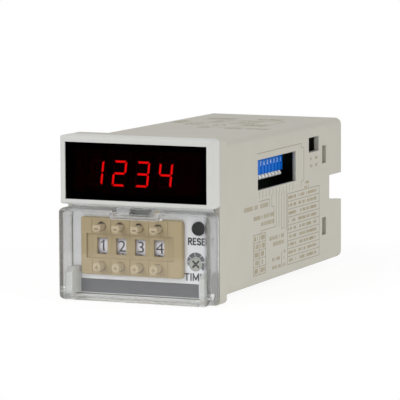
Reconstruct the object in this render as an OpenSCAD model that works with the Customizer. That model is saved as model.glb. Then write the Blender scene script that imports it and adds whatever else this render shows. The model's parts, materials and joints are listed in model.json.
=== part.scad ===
// Panel counter for a square cut-out: drafted housing, display bezel, hinged clear cover,
// push-wheel preset, side switches and a screw terminal block at the rear.
// Frame: origin at the centre of the panel seat, +X right seen from the front, +Y into the panel, +Z up.

/* [Front frame] */
// Width and height of the front frame
front_size = 48; // [47:0.25:50]
// Thickness of the frame in front of the panel
flange_t = 5; // [4.5:0.25:6]
// Corner radius of the frame
flange_r = 1.5; // [0.5:0.25:2.5]
// Width of the seat round the cut-out
seat_w = 1.5; // [1.3:0.1:1.8]
// Width of the rim round the front panel
rim = 1.5; // [1.2:0.1:1.7]
// Thickness of the front panel
panel_t = 2.4; // [2:0.1:2.8]
// Thickness of the printed sheet
label_t = 0.2; // [0.1:0.05:0.4]

/* [Housing] */
// Draft of the top and of the bottom at the rear end
draft = 0.8; // [0:0.1:1]
// Length of the body behind the panel seat
body_len = 93; // [90:1:110]
// Wall thickness
wall = 1.5; // [1.2:0.1:1.8]
// Radius of the long outer edges
edge_r = 2; // [1:0.25:3]

/* [Display] */
// Height of the display bezel
bezel_h = 20; // [19.5:0.25:21]
// Depth of the display bezel in front of the frame
bezel_depth = 5.4; // [5.2:0.1:7]
// Corner radius of the bezel
bezel_r = 1; // [0.9:0.1:2.5]
// Radius of the bezel's front edges
bezel_edge_r = 0.7; // [0.3:0.1:1]
// Border beside the display window
window_side = 1.7; // [1.6:0.1:3]
// Border above the window
window_drop = 1.9; // [1.6:0.1:2.2]
// Border below the window
window_foot = 1.5; // [1.3:0.1:2.2]
// Thickness of the lens
lens_t = 1.6; // [1:0.1:2]
// Depth of the lens behind the bezel's front
lens_sink = 0.3; // [0:0.1:0.6]
// Width of the ledge that carries the lens
ledge_w = 1.2; // [0.8:0.1:1.5]
// Number of digits
digit_count = 4; // [3:1:5]
// Pitch of the digits
digit_pitch = 7.25; // [6.8:0.05:7.6]
// Space round the digit modules inside the window, above and below together
digit_space = 4.6; // [4:0.1:6]
// Thickness of a digit module
digit_t = 6.5; // [6:0.1:7]
// Shift of the digits from the middle of the front
digit_shift = -2.3; // [-3:0.1:0]
// Drop of the digits below the middle of the window
digit_drop = 0.5; // [0:0.1:1]

/* [Clear cover] */
// Step from the frame's side to the cover's side
cover_side_step = 0.1; // [0:0.05:0.3]
// Step from the frame's lower edge to the cover's lower edge
cover_foot = 0.3; // [0:0.05:0.5]
// Depth of the cover in front of the frame
cover_depth = 7.3; // [6.6:0.1:8]
// Wall thickness of the cover's front, top and bottom
cover_t = 1.2; // [0.9:0.1:1.3]
// Wall thickness of the cover's sides
cover_side_t = 1.3; // [1:0.1:1.5]
// Corner radius of the cover seen from the front
cover_r = 2.5; // [1.5:0.1:3]
// Radius of the cover's front edges
cover_edge_r = 1.2; // [0.6:0.1:1.5]
// Distance of the hinge axis in front of the frame
hinge_out = 4; // [3.8:0.1:4.4]
// Height of the hinge axis above the cover's lower edge
hinge_up = 3; // [2.8:0.1:3.2]
// Radius of the hinge pins
hinge_pin_r = 1; // [0.8:0.05:1.1]
// Width of a hinge boss at its foot
boss_w = 2.7; // [2.2:0.1:3]
// Height of a hinge boss above the axis
boss_up = 6.2; // [5:0.2:7]
// Lean of a hinge boss's inner side, from its foot to its front
boss_lean = 0.6; // [0:0.1:0.8]
// Drop of a hinge boss's sloping top towards the front
boss_slope = 1.3; // [0.5:0.1:2]
// Width of the thumb recess
recess_w = 14; // [12:0.5:16]
// Height of the thumb recess
recess_h = 1.8; // [1.2:0.1:2]
// Depth of the thumb recess
recess_d = 3.5; // [2:0.1:3.8]
// Width of the latch tab behind the thumb recess
tab_w = 6.2; // [4:0.2:7]
// Thickness of the latch tab
tab_t = 0.8; // [0.6:0.1:1]
// Reach of the latch tab into the front panel
tab_reach = 1.8; // [1:0.1:2]
// Drop of the latch tab below the cover's upper edge
tab_drop = 1; // [0.8:0.1:1.2]

/* [Push wheels] */
// Number of push-wheel units
unit_count = 4; // [3:1:4]
// Lip of a unit's face above and below its case
face_lip = 0.6; // [0.5:0.05:0.8]
// Depth of a unit's case
unit_depth = 19.2; // [16:0.2:20]
// Thickness of the faces
face_t = 1.4; // [1.2:0.1:1.6]
// Wall thickness of the cases
case_t = 0.6; // [0.5:0.05:0.7]
// Gap between the cover's left wall and the left end plate
units_margin = 3.5; // [3:0.1:4]
// Gap between the cover's top wall and the units
units_top = 1.9; // [1.6:0.1:2.1]
// Width of the left end plate's face
left_end_w = 3.7; // [3:0.1:4]
// Width of the right end plate's face
right_end_w = 4.7; // [4.4:0.1:5.2]
// Gap between the right end plate's face and the reset button
right_end_gap = 2.45; // [1.5:0.05:2.6]
// Thickness of the end plates behind the face
end_wall = 1.2; // [0.8:0.1:1.4]
// Chamfer on the faces' edges beside a seam
face_seam = 0.15; // [0.1:0.05:0.3]
// Corner radius of the group's face
face_r = 1; // [0.6:0.1:1.4]
// Rounding along the group's front edge
face_edge_r = 0.6; // [0.4:0.05:0.8]
// Height of the sunk strip that holds the windows
inset_h = 7.2; // [6:0.1:7.4]
// Depth of the sunk strip
inset_d = 0.6; // [0.3:0.05:0.8]
// Reach of the sunk strip into the end plates
inset_reach = 1.8; // [1:0.1:2.2]
// Width of a digit window
view_w = 3.3; // [2.8:0.1:3.6]
// Height of a digit window
view_h = 4.75; // [3.8:0.05:5]
// Radius of a number wheel
wheel_r = 6; // [5.7:0.1:6.2]
// Width of a unit beside its number wheel
wheel_side = 2.2; // [2:0.1:2.6]
// Number of positions of a wheel
wheel_steps = 10; // [8:1:12]
// Outer radius of the ratchet
ratchet_r = 4.2; // [3.6:0.1:4.3]
// Height of the ratchet teeth
tooth_h = 0.9; // [0.5:0.1:1.2]
// Radius of a wheel's axle
axle_r = 1; // [0.8:0.05:1.2]
// Radius of a push button
button_r = 1.25; // [1.1:0.05:1.4]
// Height of a push button in front of the face
button_out = 3.5; // [2.4:0.1:3.8]
// Distance of the push buttons from the middle of the unit
button_z = 5.75; // [5.5:0.05:5.9]
// Height of the flat on the upper buttons above their middle
button_flat = 0.75; // [0.5:0.05:1]
// Thickness of a button's collar
collar_t = 0.6; // [0.4:0.05:0.7]

/* [Reset and trimmer] */
// Middle of the reset button from the cover's right wall
reset_in = 4.9; // [4.8:0.1:5.6]
// Middle of the reset button from the cover's upper edge
reset_top = 5.25; // [4.9:0.05:5.7]
// Radius of the reset button
reset_r = 1.95; // [1.6:0.05:2.1]
// Height of the reset button in front of the printed sheet
reset_out = 0.6; // [0.3:0.1:1]
// Middle of the trimmer from the cover's right wall
trim_in = 5.95; // [5.6:0.05:6.2]
// Middle of the trimmer from the cover's upper edge
trim_top = 15.6; // [14.5:0.1:16]
// Radius of the trimmer's rotor
trim_r = 1.9; // [1.5:0.05:2]
// Width of the switch and trimmer bodies
control_w = 5.6; // [5:0.1:5.8]

/* [Side openings] */
// Front end of the long side window, behind the panel seat
dip_window_y = 26.6; // [24:0.2:30]
// Length of the long side window
dip_window_len = 29.3; // [28:0.1:31]
// Middle of the long side window below the body's top
dip_window_down = 12.2; // [11.7:0.1:13]
// Height of the long side window
dip_window_h = 9; // [8:0.1:9.4]
// Thickness of the side wall round the long window
dip_window_t = 0.8; // [0.7:0.1:1]
// Width of the thinned wall round the long window
dip_window_rim = 1; // [0.5:0.1:1.5]
// Middle of the small side window, ahead of the rear end
slide_window_back = 22.6; // [21:0.2:24]
// Middle of the small side window below the body's top
slide_window_down = 7; // [6.8:0.1:7.5]
// Length of the small side window
slide_window_len = 8; // [7:0.1:8.4]
// Height of the small side window
slide_window_h = 4.5; // [4.2:0.1:5]
// Length of a latch window
latch_len = 3.1; // [2.6:0.1:3.4]
// Height of a latch window
latch_h = 5.4; // [4.6:0.1:5.6]
// Middle of the upper latch windows below the body's top
latch_top = 10.8; // [10.5:0.1:11.5]
// Middle of the lower latch windows above the body's underside
latch_foot = 12; // [11.5:0.1:12.5]
// Depth of the rear notch
notch_d = 9.8; // [8:0.1:10]
// Upper edge of the rear notch
notch_up = 4.8; // [4:0.1:5.2]
// Lower edge of the rear notch at its inner end
notch_down = 2.6; // [2:0.1:3.4]
// Flare of the notch's lower edge towards the rear
notch_flare = 1; // [0:0.1:1.4]

/* [Switches inside] */
// Number of switch keys
dip_count = 10; // [8:1:10]
// Pitch of the keys
dip_pitch = 2.54; // [2.5:0.01:2.6]
// Depth of the key switch's face below the side wall
dip_sink = 3.9; // [3.6:0.1:4.4]
// Height of the key switch above its board
dip_tall = 5.5; // [5:0.1:6]
// Width of the key switch
dip_w = 6.8; // [6.2:0.1:7]
// Lower edge of the key switch above the lower edge of its window
dip_lift = 3.5; // [3:0.1:3.8]
// Width of a key
key_w = 1.8; // [1.5:0.05:1.9]
// Reach of a key from its pin
key_reach = 3.3; // [2.8:0.05:3.4]
// Lean of a key away from the board
key_lean = 38; // [28:0.5:39]
// Radius of the pin that carries the keys
key_pin_r = 0.4; // [0.3:0.05:0.45]
// Travel of the slide switch
slide_travel = 2.4; // [1.8:0.1:2.6]

/* [Boards] */
// Thickness of the circuit boards
board_t = 1.6; // [1.2:0.1:1.8]
// Gap between the long boards and the top and bottom walls at the rear
board_gap = 0.7; // [0.5:0.1:1.2]
// Front end of the long boards, behind the panel seat
board_y = 16; // [15.5:0.25:20]
// Gap between the left wall and the power board
power_board_gap = 1.9; // [1.8:0.1:2.6]
// Gap between the front panel and the control board
control_gap = 5; // [4.8:0.1:5.6]

/* [Terminals] */
// Depth of the terminal bay from the rear end to the base plate
bay_d = 11; // [10.5:0.1:12]
// Thickness of the base plate
base_t = 2.5; // [2:0.1:3]
// Height of the bank's floor above the base plate
bank_t = 1.5; // [1:0.1:1.8]
// Height of the barriers above the bank's floor
barrier_h = 2.6; // [2.4:0.1:3]
// Thickness of the barriers
barrier_t = 1; // [0.6:0.1:1.1]
// Number of terminals in a bank
term_count = 6; // [5:1:6]
// Margin beside the outer barriers
bank_end = 0.4; // [0.2:0.1:1]
// Margin above and below the banks
bank_edge = 1.3; // [0.8:0.1:1.6]
// Width of a bank
bank_w = 12.4; // [11.5:0.1:12.6]
// Radius of the terminal screws
screw_r = 1.5; // [1.25:0.05:1.6]
// Gap between a screw head and its barriers
head_gap = 0.3; // [0.2:0.05:0.6]
// Thickness of the screw heads
head_t = 1.8; // [1.4:0.1:1.9]
// Thickness of the clamp plates
clamp_t = 0.6; // [0.4:0.05:0.8]

/* [Clearances] */
// Clearance round pieces that are seated or snapped in
seat_gap = 0.2; // [0.1:0.05:0.25]
// Clearance between pieces that move past each other
run_gap = 0.3; // [0.25:0.05:0.4]
// Radial clearance of pins and axles
pin_gap = 0.05; // [0.02:0.01:0.1]
// Gap between the bezel and the cover
cover_gap = 0.7; // [0.6:0.05:0.9]

/* [Hidden] */
$fn = 48;
hull_fn = 32;
over = 1;
sliver = 0.02;

body_w = front_size - 2 * seat_w;
body_h = front_size - 2 * seat_w;

// front stack, from the frame to the cover
front_y = -flange_t;
panel_y1 = front_y + panel_t;
label_y0 = front_y - label_t;
bezel_y0 = front_y - bezel_depth;
lens_y0 = bezel_y0 + lens_sink;
lens_y1 = lens_y0 + lens_t;
lens_gap = 0.7;
digit_y0 = lens_y1 + lens_gap;
digit_y1 = digit_y0 + digit_t;

bezel_z1 = front_size / 2;
bezel_z0 = bezel_z1 - bezel_h;
window_w = front_size - 2 * window_side;
window_h = bezel_h - window_drop - window_foot;
window_z = bezel_z1 - window_drop - window_h / 2;
digit_h = window_h - digit_space;
digit_z = window_z - digit_drop;
digits_w = digit_count * digit_pitch;
peg_r = 0.9;
peg_x = 15;
peg_long = 2;
peg_in = 0.75;
display_board_h = digit_h + 1.6;

panel_w = front_size - 2 * rim - 2 * seat_gap;
cavity_w = body_w - 2 * wall;
cavity_h = body_h - 2 * wall;
cavity_r = 0.6;
function cavity_half_h(y) = cavity_h / 2 - draft * max(y, 0) / body_len;

cover_w = front_size - 2 * cover_side_step;
cover_z1 = bezel_z0 - cover_gap;
cover_z0 = -front_size / 2 + cover_foot;
cover_h = cover_z1 - cover_z0;
cover_y0 = front_y - cover_depth;
cover_y1 = label_y0 - seat_gap;
cover_inner_x = cover_w / 2 - cover_side_t;
hinge_y = front_y - hinge_out;
hinge_z = cover_z0 + hinge_up;
swing_r = hinge_out - run_gap;
nose_r = hinge_up - cover_t - run_gap;
boss_x1 = cover_inner_x - run_gap;
boss_x0 = boss_x1 - boss_w;
boss_back = 0.2;
boss_y0 = hinge_y - nose_r + boss_back;
boss_slope_run = 2;
boss_heel = 0.4;
recess_lean = 0.8;
tab_lift = 0.6;

button_gap = 0.1;
case_inner_h = button_z + button_r + 2 * button_gap;
unit_case_h = 2 * (case_inner_h + case_t);
unit_face_h = unit_case_h + 2 * face_lip;
units_x0 = -cover_inner_x + units_margin + left_end_w;
reset_right = cover_inner_x - reset_in;
units_x1 = reset_right - reset_r - right_end_gap - right_end_w;
unit_w = (units_x1 - units_x0) / unit_count;
units_z = cover_z1 - cover_t - units_top - unit_face_h / 2;
reset_down = reset_top - cover_z1;
trim_right = cover_inner_x - trim_in;
trim_down = trim_top - cover_z1;
face_y0 = label_y0 - face_t;
face_y1 = label_y0;
face_z0 = units_z - unit_face_h / 2;
face_z1 = units_z + unit_face_h / 2;
group_w = units_x1 + right_end_w - units_x0 + left_end_w;
group_x = units_x1 + right_end_w - group_w / 2;
case_y1 = face_y1 + unit_depth;
wheel_y = face_y1 + run_gap + wheel_r;
function unit_x(i) = units_x0 + (i - 0.5) * unit_w;
collar_y0 = face_y1 + 0.1;
collar_in = 0.9;
collar_w = unit_w - 2 * case_t - 2 * button_gap;
wheel_w = unit_w - wheel_side;
pawl_w = 0.6;
ratchet_w = 0.7;
barb_out = 0.6;
barb_l = 1.5;
barb_h = 5;

cutout_x0 = units_x0 - end_wall - seat_gap;
cutout_x1 = units_x1 + end_wall + seat_gap;
cutout_h = unit_case_h + 2 * seat_gap;

control_y0 = panel_y1 + control_gap;
control_y1 = control_y0 + board_t;
switch_t = 3.4;
switch_y0 = control_y0 - switch_t;
reset_y0 = label_y0 - reset_out;
reset_collar_t = 0.7;
reset_stem_r = 1.2;
reset_stem = 2;
rotor_y0 = front_y;
rotor_y1 = switch_y0 - seat_gap;
spigot_r = 1.2;
spigot = 2.2;
hole_gap = 0.1;
blind = 0.6;
control_board_w = 7.2;
control_x1 = cavity_w / 2 - run_gap;
control_z1 = control_w / 2 - reset_down;
control_z0 = -trim_down - control_w / 2 - 0.8;
post_r = 0.9;
post_shoulder = 0.3;
post_inset = 1.3;
control_post_z = -(reset_down + trim_down) / 2;

base_y0 = body_len - bay_d;
base_y1 = base_y0 + base_t;
bank_y1 = base_y1 + bank_t;
barrier_y1 = bank_y1 + barrier_h;
latch_y1 = base_y0 - 1.6;
latch_y0 = latch_y1 - latch_len;
arm_t = 1.2;
barb_in = 0.8;

side_x = body_w / 2;
dip_window_z = body_h / 2 - dip_window_down;
slide_window_z = body_h / 2 - slide_window_down;
latch_up = body_h / 2 - latch_top;
latch_down = body_h / 2 - latch_foot;
dip_top_x = side_x - dip_sink;
main_x1 = dip_top_x - dip_tall;
main_x0 = main_x1 - board_t;
dip_y = dip_window_y + dip_window_len / 2;
dip_len = dip_count * dip_pitch + 1.5;
dip_z0 = dip_window_z - dip_window_h / 2 + dip_lift;
dip_skin = 0.5;
groove_d = 0.25;
groove_w = 1.5;
groove_h = 2.4;
key_margin = 0.2;
key_slot_h = 3.2;
key_pin_x = dip_top_x - dip_tall / 2;
key_pin_z = dip_z0 + 1.6;
key_t = 1.2;
key_hub_r = 0.9;
function key_y(i) = dip_y + dip_len / 2 - key_margin - (i - 0.5) * dip_pitch;
slide_y = body_len - slide_window_back;
slide_tall = 3.5;
slide_len = 8.6;
slide_w = 4;
knob_len = 2;
knob_w = 1.4;
knob_deep = 1;
knob_out = 1.8;

power_x0 = -cavity_w / 2 + power_board_gap;
power_x1 = power_x0 + board_t;
board_y1 = base_y0 - seat_gap;
board_h = 2 * (cavity_half_h(base_y0) - board_gap);
guide_t = 1;
guide_h = 1;
guide_gap = 0.15;
base_half_w = cavity_w / 2 - seat_gap;
base_half_h = cavity_half_h(base_y1) - seat_gap;
term_pitch = (2 * base_half_w - 2 * bank_end - barrier_t) / term_count;
term_z = base_half_h - bank_edge - bank_w / 2;
head_r = (term_pitch - barrier_t) / 2 - head_gap;
function term_x(i) = (i - (term_count + 1) / 2) * term_pitch;

housing_colour = [0.74, 0.73, 0.68];
terminal_colour = [0.53, 0.52, 0.46];
bezel_colour = [0.88, 0.88, 0.87];
preset_colour = [0.65, 0.59, 0.45];
button_colour = [0.76, 0.69, 0.55];
board_colour = [0.09, 0.1, 0.09];
metal_colour = [0.72, 0.72, 0.7];

// Box between two corners
module block(x, y, z) {
    translate([x[0], y[0], z[0]]) cube([x[1] - x[0], y[1] - y[0], z[1] - z[0]]);
}

// Cylinder along X between two places
module rod_x(r, x0, x1) {
    translate([x0, 0, 0]) rotate([0, 90, 0]) cylinder(r = r, h = x1 - x0);
}

// Cylinder along Y between two places
module rod_y(r, y0, y1) {
    translate([0, y0, 0]) rotate([-90, 0, 0]) cylinder(r = r, h = y1 - y0);
}

// Rounded rectangle about the origin
module rounded(w, h, r) {
    square([w - 2 * r, h], center = true);
    square([w, h - 2 * r], center = true);
    for (sx = [-1, 1]) {
        for (sy = [-1, 1]) {
            translate([sx * (w / 2 - r), sy * (h / 2 - r)]) circle(r = r);
        }
    }
}

// Outline in X and Z, run from y0 to y1
module run_y(y0, y1) {
    translate([0, y1, 0]) rotate([90, 0, 0]) linear_extrude(y1 - y0) children();
}

// Outline in Y and Z, run from x0 to x1
module run_x(x0, x1) {
    translate([x0, 0, 0]) rotate([90, 0, 90]) linear_extrude(x1 - x0) children();
}

// Outline in X and Y, run from z0 to z1
module run_z(z0, z1) {
    translate([0, 0, z0]) linear_extrude(z1 - z0) children();
}

// Rounded bar with draft: its height falls from h0 at y0 to h1 at y1
module drafted_bar(w, h0, h1, r, y0, y1) {
    hull() {
        run_y(y0, y0 + sliver) rounded(w, h0, r, $fn = hull_fn);
        run_y(y1 - sliver, y1) rounded(w, h1, r, $fn = hull_fn);
    }
}

// Front piece with rounded corners and rounded front edges, open to the rear
module pillow(w, y0, y1, z0, z1, corner_r, edge_r) {
    depth = y1 - y0;
    intersection() {
        run_y(y0, y1) translate([0, (z0 + z1) / 2]) rounded(w, z1 - z0, corner_r);
        run_x(-w, w) translate([y0 + depth, (z0 + z1) / 2]) rounded(2 * depth, z1 - z0, edge_r);
        run_z(z0 - over, z1 + over) translate([0, y0 + depth]) rounded(w, 2 * depth, edge_r);
    }
}

module housing() {
    rear_h = body_h - 2 * draft;
    pocket = front_size - 2 * rim;
    dip_rim_h = dip_window_h / 2 + dip_window_rim;
    color(housing_colour) difference() {
        union() {
            run_y(front_y, 0) rounded(front_size, front_size, flange_r);
            drafted_bar(body_w, body_h, rear_h, edge_r, -over, body_len);
        }
        run_y(front_y - over, panel_y1) rounded(pocket, pocket, cavity_r);
        difference() {
            drafted_bar(cavity_w, cavity_h, rear_h - 2 * wall, cavity_r, front_y, body_len + sliver);
            board_guides();
        }
        block([side_x - 2 * wall, side_x + over], [dip_window_y, dip_window_y + dip_window_len],
              [dip_window_z - dip_window_h / 2, dip_window_z + dip_window_h / 2]);
        block([side_x - 2 * wall, side_x - dip_window_t],
              [dip_window_y - dip_window_rim, dip_window_y + dip_window_len + dip_window_rim],
              [dip_window_z - dip_rim_h, dip_window_z + dip_rim_h]);
        block([side_x - 2 * wall, side_x + over],
              [slide_y - slide_window_len / 2, slide_y + slide_window_len / 2],
              [slide_window_z - slide_window_h / 2, slide_window_z + slide_window_h / 2]);
        for (z = [latch_up, -latch_down]) {
            block([-side_x - over, side_x + over], [latch_y0, latch_y1], [z - latch_h / 2, z + latch_h / 2]);
        }
        run_x(-side_x - over, side_x + over) rear_notch();
    }
}

// Ribs on the top and bottom walls that guide the two long boards
module board_guides() {
    for (x = [main_x0, power_x0]) {
        for (side = [x - guide_gap - guide_t, x + board_t + guide_gap]) {
            for (up = [0, 1]) {
                mirror([0, 0, up])
                    block([side, side + guide_t], [board_y, base_y0 - over],
                          [board_h / 2 - guide_h, body_h / 2]);
            }
        }
    }
}

// Notch in the rear edge of both side walls, in Y and Z
module rear_notch() {
    y0 = body_len - notch_d;
    y1 = body_len + over;
    polygon([[y0, notch_up], [y1, notch_up], [y1, -notch_down - notch_flare], [y0, -notch_down]]);
}

// Opening in the front panel and its sheet for the push-wheel units, in X and Z
module unit_opening() {
    translate([cutout_x0, units_z - cutout_h / 2]) square([cutout_x1 - cutout_x0, cutout_h]);
}

module front_panel() {
    color(bezel_colour) {
        difference() {
            run_y(front_y, panel_y1) difference() {
                rounded(panel_w, panel_w, cavity_r);
                unit_opening();
                translate([digit_shift, digit_z])
                    square([digits_w + 2 * seat_gap, digit_h + 2 * seat_gap], center = true);
            }
            control_holes();
            bezel_pegs(peg_r + pin_gap, over);
        }
        for (side = [0, 1]) {
            mirror([side, 0, 0]) hinge_boss();
        }
        for (x = [-1, 1]) {
            for (z = [-1, 1]) {
                translate([x * display_post_x(), 0, digit_z + z * display_post_z()])
                    post(digit_y1, digit_y1 + board_t);
            }
        }
        for (x = control_post_x()) {
            translate([x, 0, control_post_z]) post(control_y0, control_y1);
        }
    }
}

function display_post_x() = cavity_w / 2 - post_r - post_inset;
function display_post_z() = display_board_h / 2 - post_r - 0.6;
function control_post_x() = [control_x1 - control_board_w + post_inset, control_x1 - post_inset];

// Post behind the front panel: a shoulder that seats the board and a pin through it
module post(shoulder_y, board_back_y) {
    rod_y(post_r + post_shoulder, panel_y1 - sliver, shoulder_y);
    rod_y(post_r, shoulder_y - sliver, board_back_y + 0.4);
}

// Holes for the reset button, the trimmer and the latch tab, through the panel and its sheet
module control_holes() {
    block([-tab_w / 2 - run_gap, tab_w / 2 + run_gap], [label_y0 - over, front_y + tab_reach + run_gap],
          [cover_z1 - tab_drop - tab_t - run_gap, cover_z1 - tab_drop + tab_lift]);
    translate([reset_right, 0, -reset_down]) rod_y(reset_r + hole_gap, label_y0 - over, panel_y1 + over);
    translate([trim_right, 0, -trim_down]) rod_y(trim_r + hole_gap, label_y0 - over, panel_y1 + over);
}

// Boss on the right of the panel with the pin that carries the cover: a sloping top and a leaning inner side
module hinge_boss() {
    boss_z1 = hinge_z + boss_up;
    difference() {
        run_x(boss_x0, boss_x1) {
            translate([hinge_y, hinge_z]) circle(r = nose_r);
            polygon([[boss_y0, hinge_z], [front_y + sliver, hinge_z], [front_y + sliver, boss_z1],
                     [boss_y0 + boss_slope_run, boss_z1], [boss_y0, boss_z1 - boss_slope]]);
            translate([hinge_y, hinge_z - nose_r + boss_heel])
                square([hinge_out + sliver, nose_r]);
        }
        run_z(cover_z0, boss_z1 + over)
            polygon([[boss_x0 - over, front_y], [boss_x0, front_y], [boss_x0 + boss_lean, boss_y0 - over],
                     [boss_x0 - over, boss_y0 - over]]);
    }
    translate([0, hinge_y, hinge_z]) rod_x(hinge_pin_r, boss_x1 - over, cover_w / 2 - seat_gap);
}

module front_label() {
    sheet_z0 = -panel_w / 2 + seat_gap;
    sheet_z1 = bezel_z0 - 2 * seat_gap;
    sheet_w = panel_w - 2 * seat_gap;
    color([0.93, 0.93, 0.94]) difference() {
        run_y(label_y0, front_y) difference() {
            translate([-sheet_w / 2, sheet_z0]) square([sheet_w, sheet_z1 - sheet_z0]);
            unit_opening();
            for (side = [0, 1]) {
                mirror([side, 0]) translate([boss_x0 - seat_gap, sheet_z0 - over])
                    square([boss_w + 2 * over, hinge_z + boss_up + seat_gap - sheet_z0 + over]);
            }
        }
        control_holes();
    }
}

// Pegs that hold the bezel on the front panel
module bezel_pegs(r, more = 0) {
    for (x = [-peg_x, peg_x]) {
        for (z = [bezel_z0 + peg_r + peg_in - 0.4, panel_w / 2 - peg_r - peg_in]) {
            translate([x, 0, z]) rod_y(r, front_y - over, front_y + peg_long + more);
        }
    }
}

module display_bezel() {
    color(bezel_colour) {
        difference() {
            pillow(front_size, bezel_y0, front_y, bezel_z0, bezel_z1, bezel_r, bezel_edge_r);
            translate([0, 0, window_z]) {
                run_y(bezel_y0 - over, lens_y1) square([window_w, window_h], center = true);
                run_y(bezel_y0 - over, front_y + over)
                    square([window_w - 2 * ledge_w, window_h - 2 * ledge_w], center = true);
            }
        }
        bezel_pegs(peg_r);
    }
}

module display_lens() {
    color([0.05, 0.02, 0.02]) translate([0, 0, window_z])
        run_y(lens_y0, lens_y1) square([window_w - seat_gap, window_h - seat_gap], center = true);
}

module display_board() {
    color(board_colour) difference() {
        run_y(digit_y1, digit_y1 + board_t) translate([0, digit_z])
            square([cavity_w - 2 * seat_gap - over, display_board_h], center = true);
        for (x = [-1, 1]) {
            for (z = [-1, 1]) {
                translate([x * display_post_x(), 0, digit_z + z * display_post_z()])
                    rod_y(post_r + pin_gap, digit_y1 - over, digit_y1 + board_t + over);
            }
        }
    }
}

module led_digit(i) {
    x = digit_shift + (i - (digit_count + 1) / 2) * digit_pitch;
    color([0.12, 0.1, 0.1]) translate([x, 0, digit_z])
        run_y(digit_y0, digit_y1) square([digit_pitch - 0.1, digit_h], center = true);
}

// Side view of the cover: square at the top, swung clear of the frame behind the hinge
module cover_side() {
    difference() {
        translate([cover_y0, cover_z0]) square([cover_y1 - cover_y0, cover_h]);
        difference() {
            translate([hinge_y, cover_z0 - over]) square([cover_depth, hinge_z - cover_z0 + over]);
            translate([hinge_y, hinge_z]) circle(r = swing_r);
        }
    }
}

// Thumb recess seen from the front, grown by a wall all round
module recess_outline(grow) {
    half = recess_w / 2 + grow;
    polygon([[-half, cover_z1 + over], [half, cover_z1 + over],
             [half - recess_lean, cover_z1 - recess_h - grow],
             [-half + recess_lean, cover_z1 - recess_h - grow]]);
}

module clear_cover() {
    color([0.85, 0.88, 0.88, 0.35]) block([-tab_w / 2, tab_w / 2],
        [cover_y0 + recess_d + cover_t - sliver, front_y + tab_reach],
        [cover_z1 - tab_drop - tab_t, cover_z1 - tab_drop]);
    color([0.85, 0.88, 0.88, 0.35]) difference() {
        intersection() {
            pillow(cover_w, cover_y0, cover_y1, cover_z0, cover_z1, cover_r, cover_edge_r);
            run_x(-cover_w, cover_w) cover_side();
        }
        difference() {
            union() {
                block([-cover_inner_x, cover_inner_x], [cover_y0 + cover_t, cover_y1 + over],
                      [cover_z0 + cover_t, cover_z1 - cover_t]);
                for (side = [0, 1]) {
                    mirror([side, 0, 0])
                        block([boss_x0 - run_gap, cover_inner_x], [cover_y0 + cover_t, cover_y1 + over],
                              [cover_z0 - over, hinge_z]);
                }
            }
            run_y(cover_y0, cover_y0 + recess_d + cover_t) recess_outline(cover_t);
        }
        run_y(cover_y0 - over, cover_y0 + recess_d) recess_outline(0);
        translate([0, hinge_y, hinge_z]) rod_x(hinge_pin_r + pin_gap, -cover_w, cover_w);
    }
}

module reset_button() {
    stem_y0 = panel_y1 + hole_gap + reset_collar_t;
    color([0.1, 0.1, 0.1]) translate([reset_right, 0, -reset_down]) {
        rod_y(reset_r, reset_y0, panel_y1 + hole_gap);
        rod_y(reset_r + 0.5, panel_y1 + hole_gap, stem_y0);
        rod_y(reset_stem_r, stem_y0, stem_y0 + reset_stem);
    }
}

// Square body on the control board with a blind bore in its front
module control_body(bore_r, bore_y1) {
    difference() {
        run_y(switch_y0, control_y0) square([control_w, control_w], center = true);
        rod_y(bore_r, switch_y0 - over, bore_y1);
    }
}

module reset_switch() {
    color([0.2, 0.2, 0.2]) translate([reset_right, 0, -reset_down])
        control_body(reset_stem_r + pin_gap, control_y0 - blind);
}

module trimmer_body() {
    color([0.2, 0.3, 0.55]) translate([trim_right, 0, -trim_down])
        control_body(spigot_r + pin_gap, control_y0 - blind);
}

module trimmer_rotor() {
    slot_w = 0.6;
    slot_d = 0.8;
    color([0.62, 0.63, 0.6]) translate([trim_right, 0, -trim_down]) difference() {
        union() {
            rod_y(trim_r, rotor_y0, rotor_y1);
            rod_y(spigot_r, rotor_y1, rotor_y1 + spigot);
        }
        for (turn = [45, 135]) {
            rotate([0, turn, 0]) block([-0.75 * trim_r, 0.75 * trim_r], [rotor_y0 - over, rotor_y0 + slot_d],
                                       [-slot_w / 2, slot_w / 2]);
        }
    }
}

module control_board() {
    color(board_colour) difference() {
        block([control_x1 - control_board_w, control_x1], [control_y0, control_y1],
              [control_z0, control_z1]);
        for (x = control_post_x()) {
            translate([x, 0, control_post_z]) rod_y(post_r + pin_gap, control_y0 - over, control_y1 + over);
        }
    }
}

// Face of a stretch of the push-wheel group, with the sunk strip from s0 to s1
module group_face(x0, x1, s0, s1) {
    difference() {
        intersection() {
            translate([group_x, 0, 0])
                pillow(group_w, face_y0, face_y1, face_z0, face_z1, face_r, face_edge_r);
            run_z(face_z0 - over, face_z1 + over)
                polygon([[x0, face_y1 + over], [x0, face_y0 + face_seam], [x0 + face_seam, face_y0],
                         [x1 - face_seam, face_y0], [x1, face_y0 + face_seam], [x1, face_y1 + over]]);
        }
        block([s0, s1], [face_y0 - over, face_y0 + inset_d], [units_z - inset_h / 2, units_z + inset_h / 2]);
    }
}

// End plate from the group's edge outwards, with a snap barb behind the panel
module end_plate(edge, out, face_w) {
    x_face = edge + out * (face_w + over);
    x_wall = edge + out * end_wall;
    x_barb = x_wall + out * barb_out;
    x_strip = edge + out * inset_reach;
    color(preset_colour) {
        group_face(min(edge, x_face), max(edge, x_face), min(edge - out * over, x_strip),
                   max(edge - out * over, x_strip));
        block([min(edge, x_wall), max(edge, x_wall)], [face_y1, case_y1],
              [units_z - unit_case_h / 2, units_z + unit_case_h / 2]);
        block([min(x_wall, x_barb), max(x_wall, x_barb)], [panel_y1 + seat_gap / 2, panel_y1 + barb_l],
              [units_z - barb_h / 2, units_z + barb_h / 2]);
    }
}

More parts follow.
